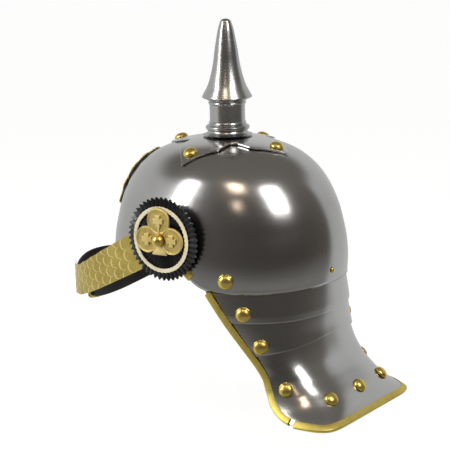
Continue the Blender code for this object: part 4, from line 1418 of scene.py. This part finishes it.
# From where to where, by height or by how far it faces the backdrop, one tone fades into the next
FLOOR_FADE = (-0.13, -0.36)
CEILING_FADE = (-0.3, 0.9)
NEAR_FADE = (-0.25, -0.9)
CARD = (0.80, 0.78, 0.74, 1)
CARD_TURN = 57.0
CARD_RISE = -11.0
CARD_EDGE = 0.985
CARD_SOFT = 0.010
BOX_AIM = Vector((0, 0, 0.04))
BOX_AWAY = 1.6
WHITE = (1, 1, 1)
PEACH = (1.0, 0.80, 0.60)
# Soft boxes: name, turn and rise in degrees, width, height, power and colour
BOXES = (
    ("box_left", 60, 29, 0.30, 1.05, 9, WHITE),
    ("box_right", 166, 41, 0.48, 0.72, 9, WHITE),
    ("box_warm_high", 116, 54, 0.30, 0.22, 1.6, PEACH),
    ("box_warm_low", 117, 33, 0.14, 0.16, 0.3, PEACH),
)
CAMERA_TURN = 127.5
CAMERA_RISE = 12.57
CAMERA_ROLL = -1.2
CAMERA_AWAY = 1.300
CAMERA_LENS = 104.0
CAMERA_SENSOR = 36.0
CAMERA_AIM = Vector((0, -0.0058, 0.041))

ground = bmesh.new()
bmesh.ops.create_circle(ground, cap_ends=True, segments=FLOOR_SIDES, radius=FLOOR_RADIUS)
bmesh.ops.translate(ground, verts=ground.verts, vec=(0, 0, -FLOOR_DROP))
floor_data = bpy.data.meshes.new("floor")
ground.to_mesh(floor_data)
ground.free()
floor = placed("floor", floor_data)
glow = {"Emission_Strength": FLOOR_GLOW, "Emission_Color": (1, 1, 1, 1)}
floor_paint, floor_shader, floor_place = open_finish("pale_floor", 0.0, 0.9, **glow)
floor_tone = noise(floor_place, scale=3, detail=2)
feed(floor_shader, Base_Color=floor_tone.mix(*FLOOR_TONES))
floor_data.materials.append(floor_paint)


def way_to(turn, rise):
    """Direction towards a turn from the front and a rise, in degrees."""
    a, e = math.radians(turn), math.radians(rise)
    return Vector((math.sin(a) * math.cos(e), -math.cos(a) * math.cos(e), math.sin(e)))


def fade(value, start, end, soft=False):
    """A share that goes from 0 to 1 as a value goes from start to end, evenly or softly."""
    settings = {"interpolation_type": "SMOOTHSTEP"} if soft else {}
    return value.add("ShaderNodeMapRange", settings, {0: value, 1: start, 2: end, 3: 0.0, 4: 1.0})


surround = bpy.data.worlds.new("surround")
surround.use_nodes = True
sky = surround.node_tree
direction = Wire(sky).add("ShaderNodeTexCoord", out="Generated")
apart = {axis: direction.add("ShaderNodeSeparateXYZ", {}, {0: direction}, axis) for axis in "XYZ"}
behind = way_to(BACKDROP_TURN, BACKDROP_RISE)
facing = apart["X"] * behind.x + apart["Y"] * behind.y + apart["Z"] * behind.z
backdrop = fade(facing, BACKDROP_EDGE - BACKDROP_EDGE_SOFT, BACKDROP_EDGE + BACKDROP_EDGE_SOFT, True)
under_top = fade(apart["Z"], BACKDROP_TOP + BACKDROP_TOP_SOFT, BACKDROP_TOP - BACKDROP_TOP_SOFT, True)
card_way = way_to(CARD_TURN, CARD_RISE)
toward_card = apart["X"] * card_way.x + apart["Y"] * card_way.y + apart["Z"] * card_way.z
card = fade(toward_card, CARD_EDGE, CARD_EDGE + CARD_SOFT, True)
ceiling = fade(apart["Z"], *CEILING_FADE)
near = fade(facing, *NEAR_FADE)
low = fade(apart["Z"], *FLOOR_FADE)
room = low.mix(near.mix(ceiling.mix(ROOM_LOW, ROOM_HIGH), ROOM_NEAR), ROOM_FLOOR)
room = card.mix(room, CARD)
seen = Wire(sky).add("ShaderNodeLightPath", out="Is Camera Ray")
tone = seen.mix((backdrop * under_top).mix(room, BACKDROP), (1, 1, 1, 1))
sky.links.new(tone.socket, sky.nodes["Background"].inputs["Color"])
bpy.context.scene.world = surround
bpy.context.scene.view_settings.view_transform = "Standard"
floor.visible_glossy = False


def soft_box(name, turn, rise, wide, high, power, colour):
    """A soft box that looks at the helmet from a turn and a rise, in degrees."""
    data = bpy.data.lights.new(name, "AREA")
    data.shape = "RECTANGLE"
    data.size = wide
    data.size_y = high
    data.energy = power
    data.color = colour
    light = placed(name, data)
    back = way_to(turn, rise)
    light.location = BOX_AIM + back * BOX_AWAY
    light.rotation_mode = "QUATERNION"
    light.rotation_quaternion = back.to_track_quat("Z", "Y")


for box in BOXES:
    soft_box(*box)

camera_data = bpy.data.cameras.new("camera")
camera_data.lens = CAMERA_LENS
camera_data.sensor_width = CAMERA_SENSOR
camera = placed("camera", camera_data)
roll = math.radians(CAMERA_ROLL)
back = way_to(CAMERA_TURN, CAMERA_RISE)
level = Vector((0, 0, 1)).cross(back).normalized()
upright = back.cross(level)
right = level * math.cos(roll) + upright * math.sin(roll)
upward = upright * math.cos(roll) - level * math.sin(roll)
camera.matrix_world = Matrix.Translation(CAMERA_AIM + back * CAMERA_AWAY) @ Matrix(
    (right, upward, back)
).transposed().to_4x4()
bpy.context.scene.camera = camera
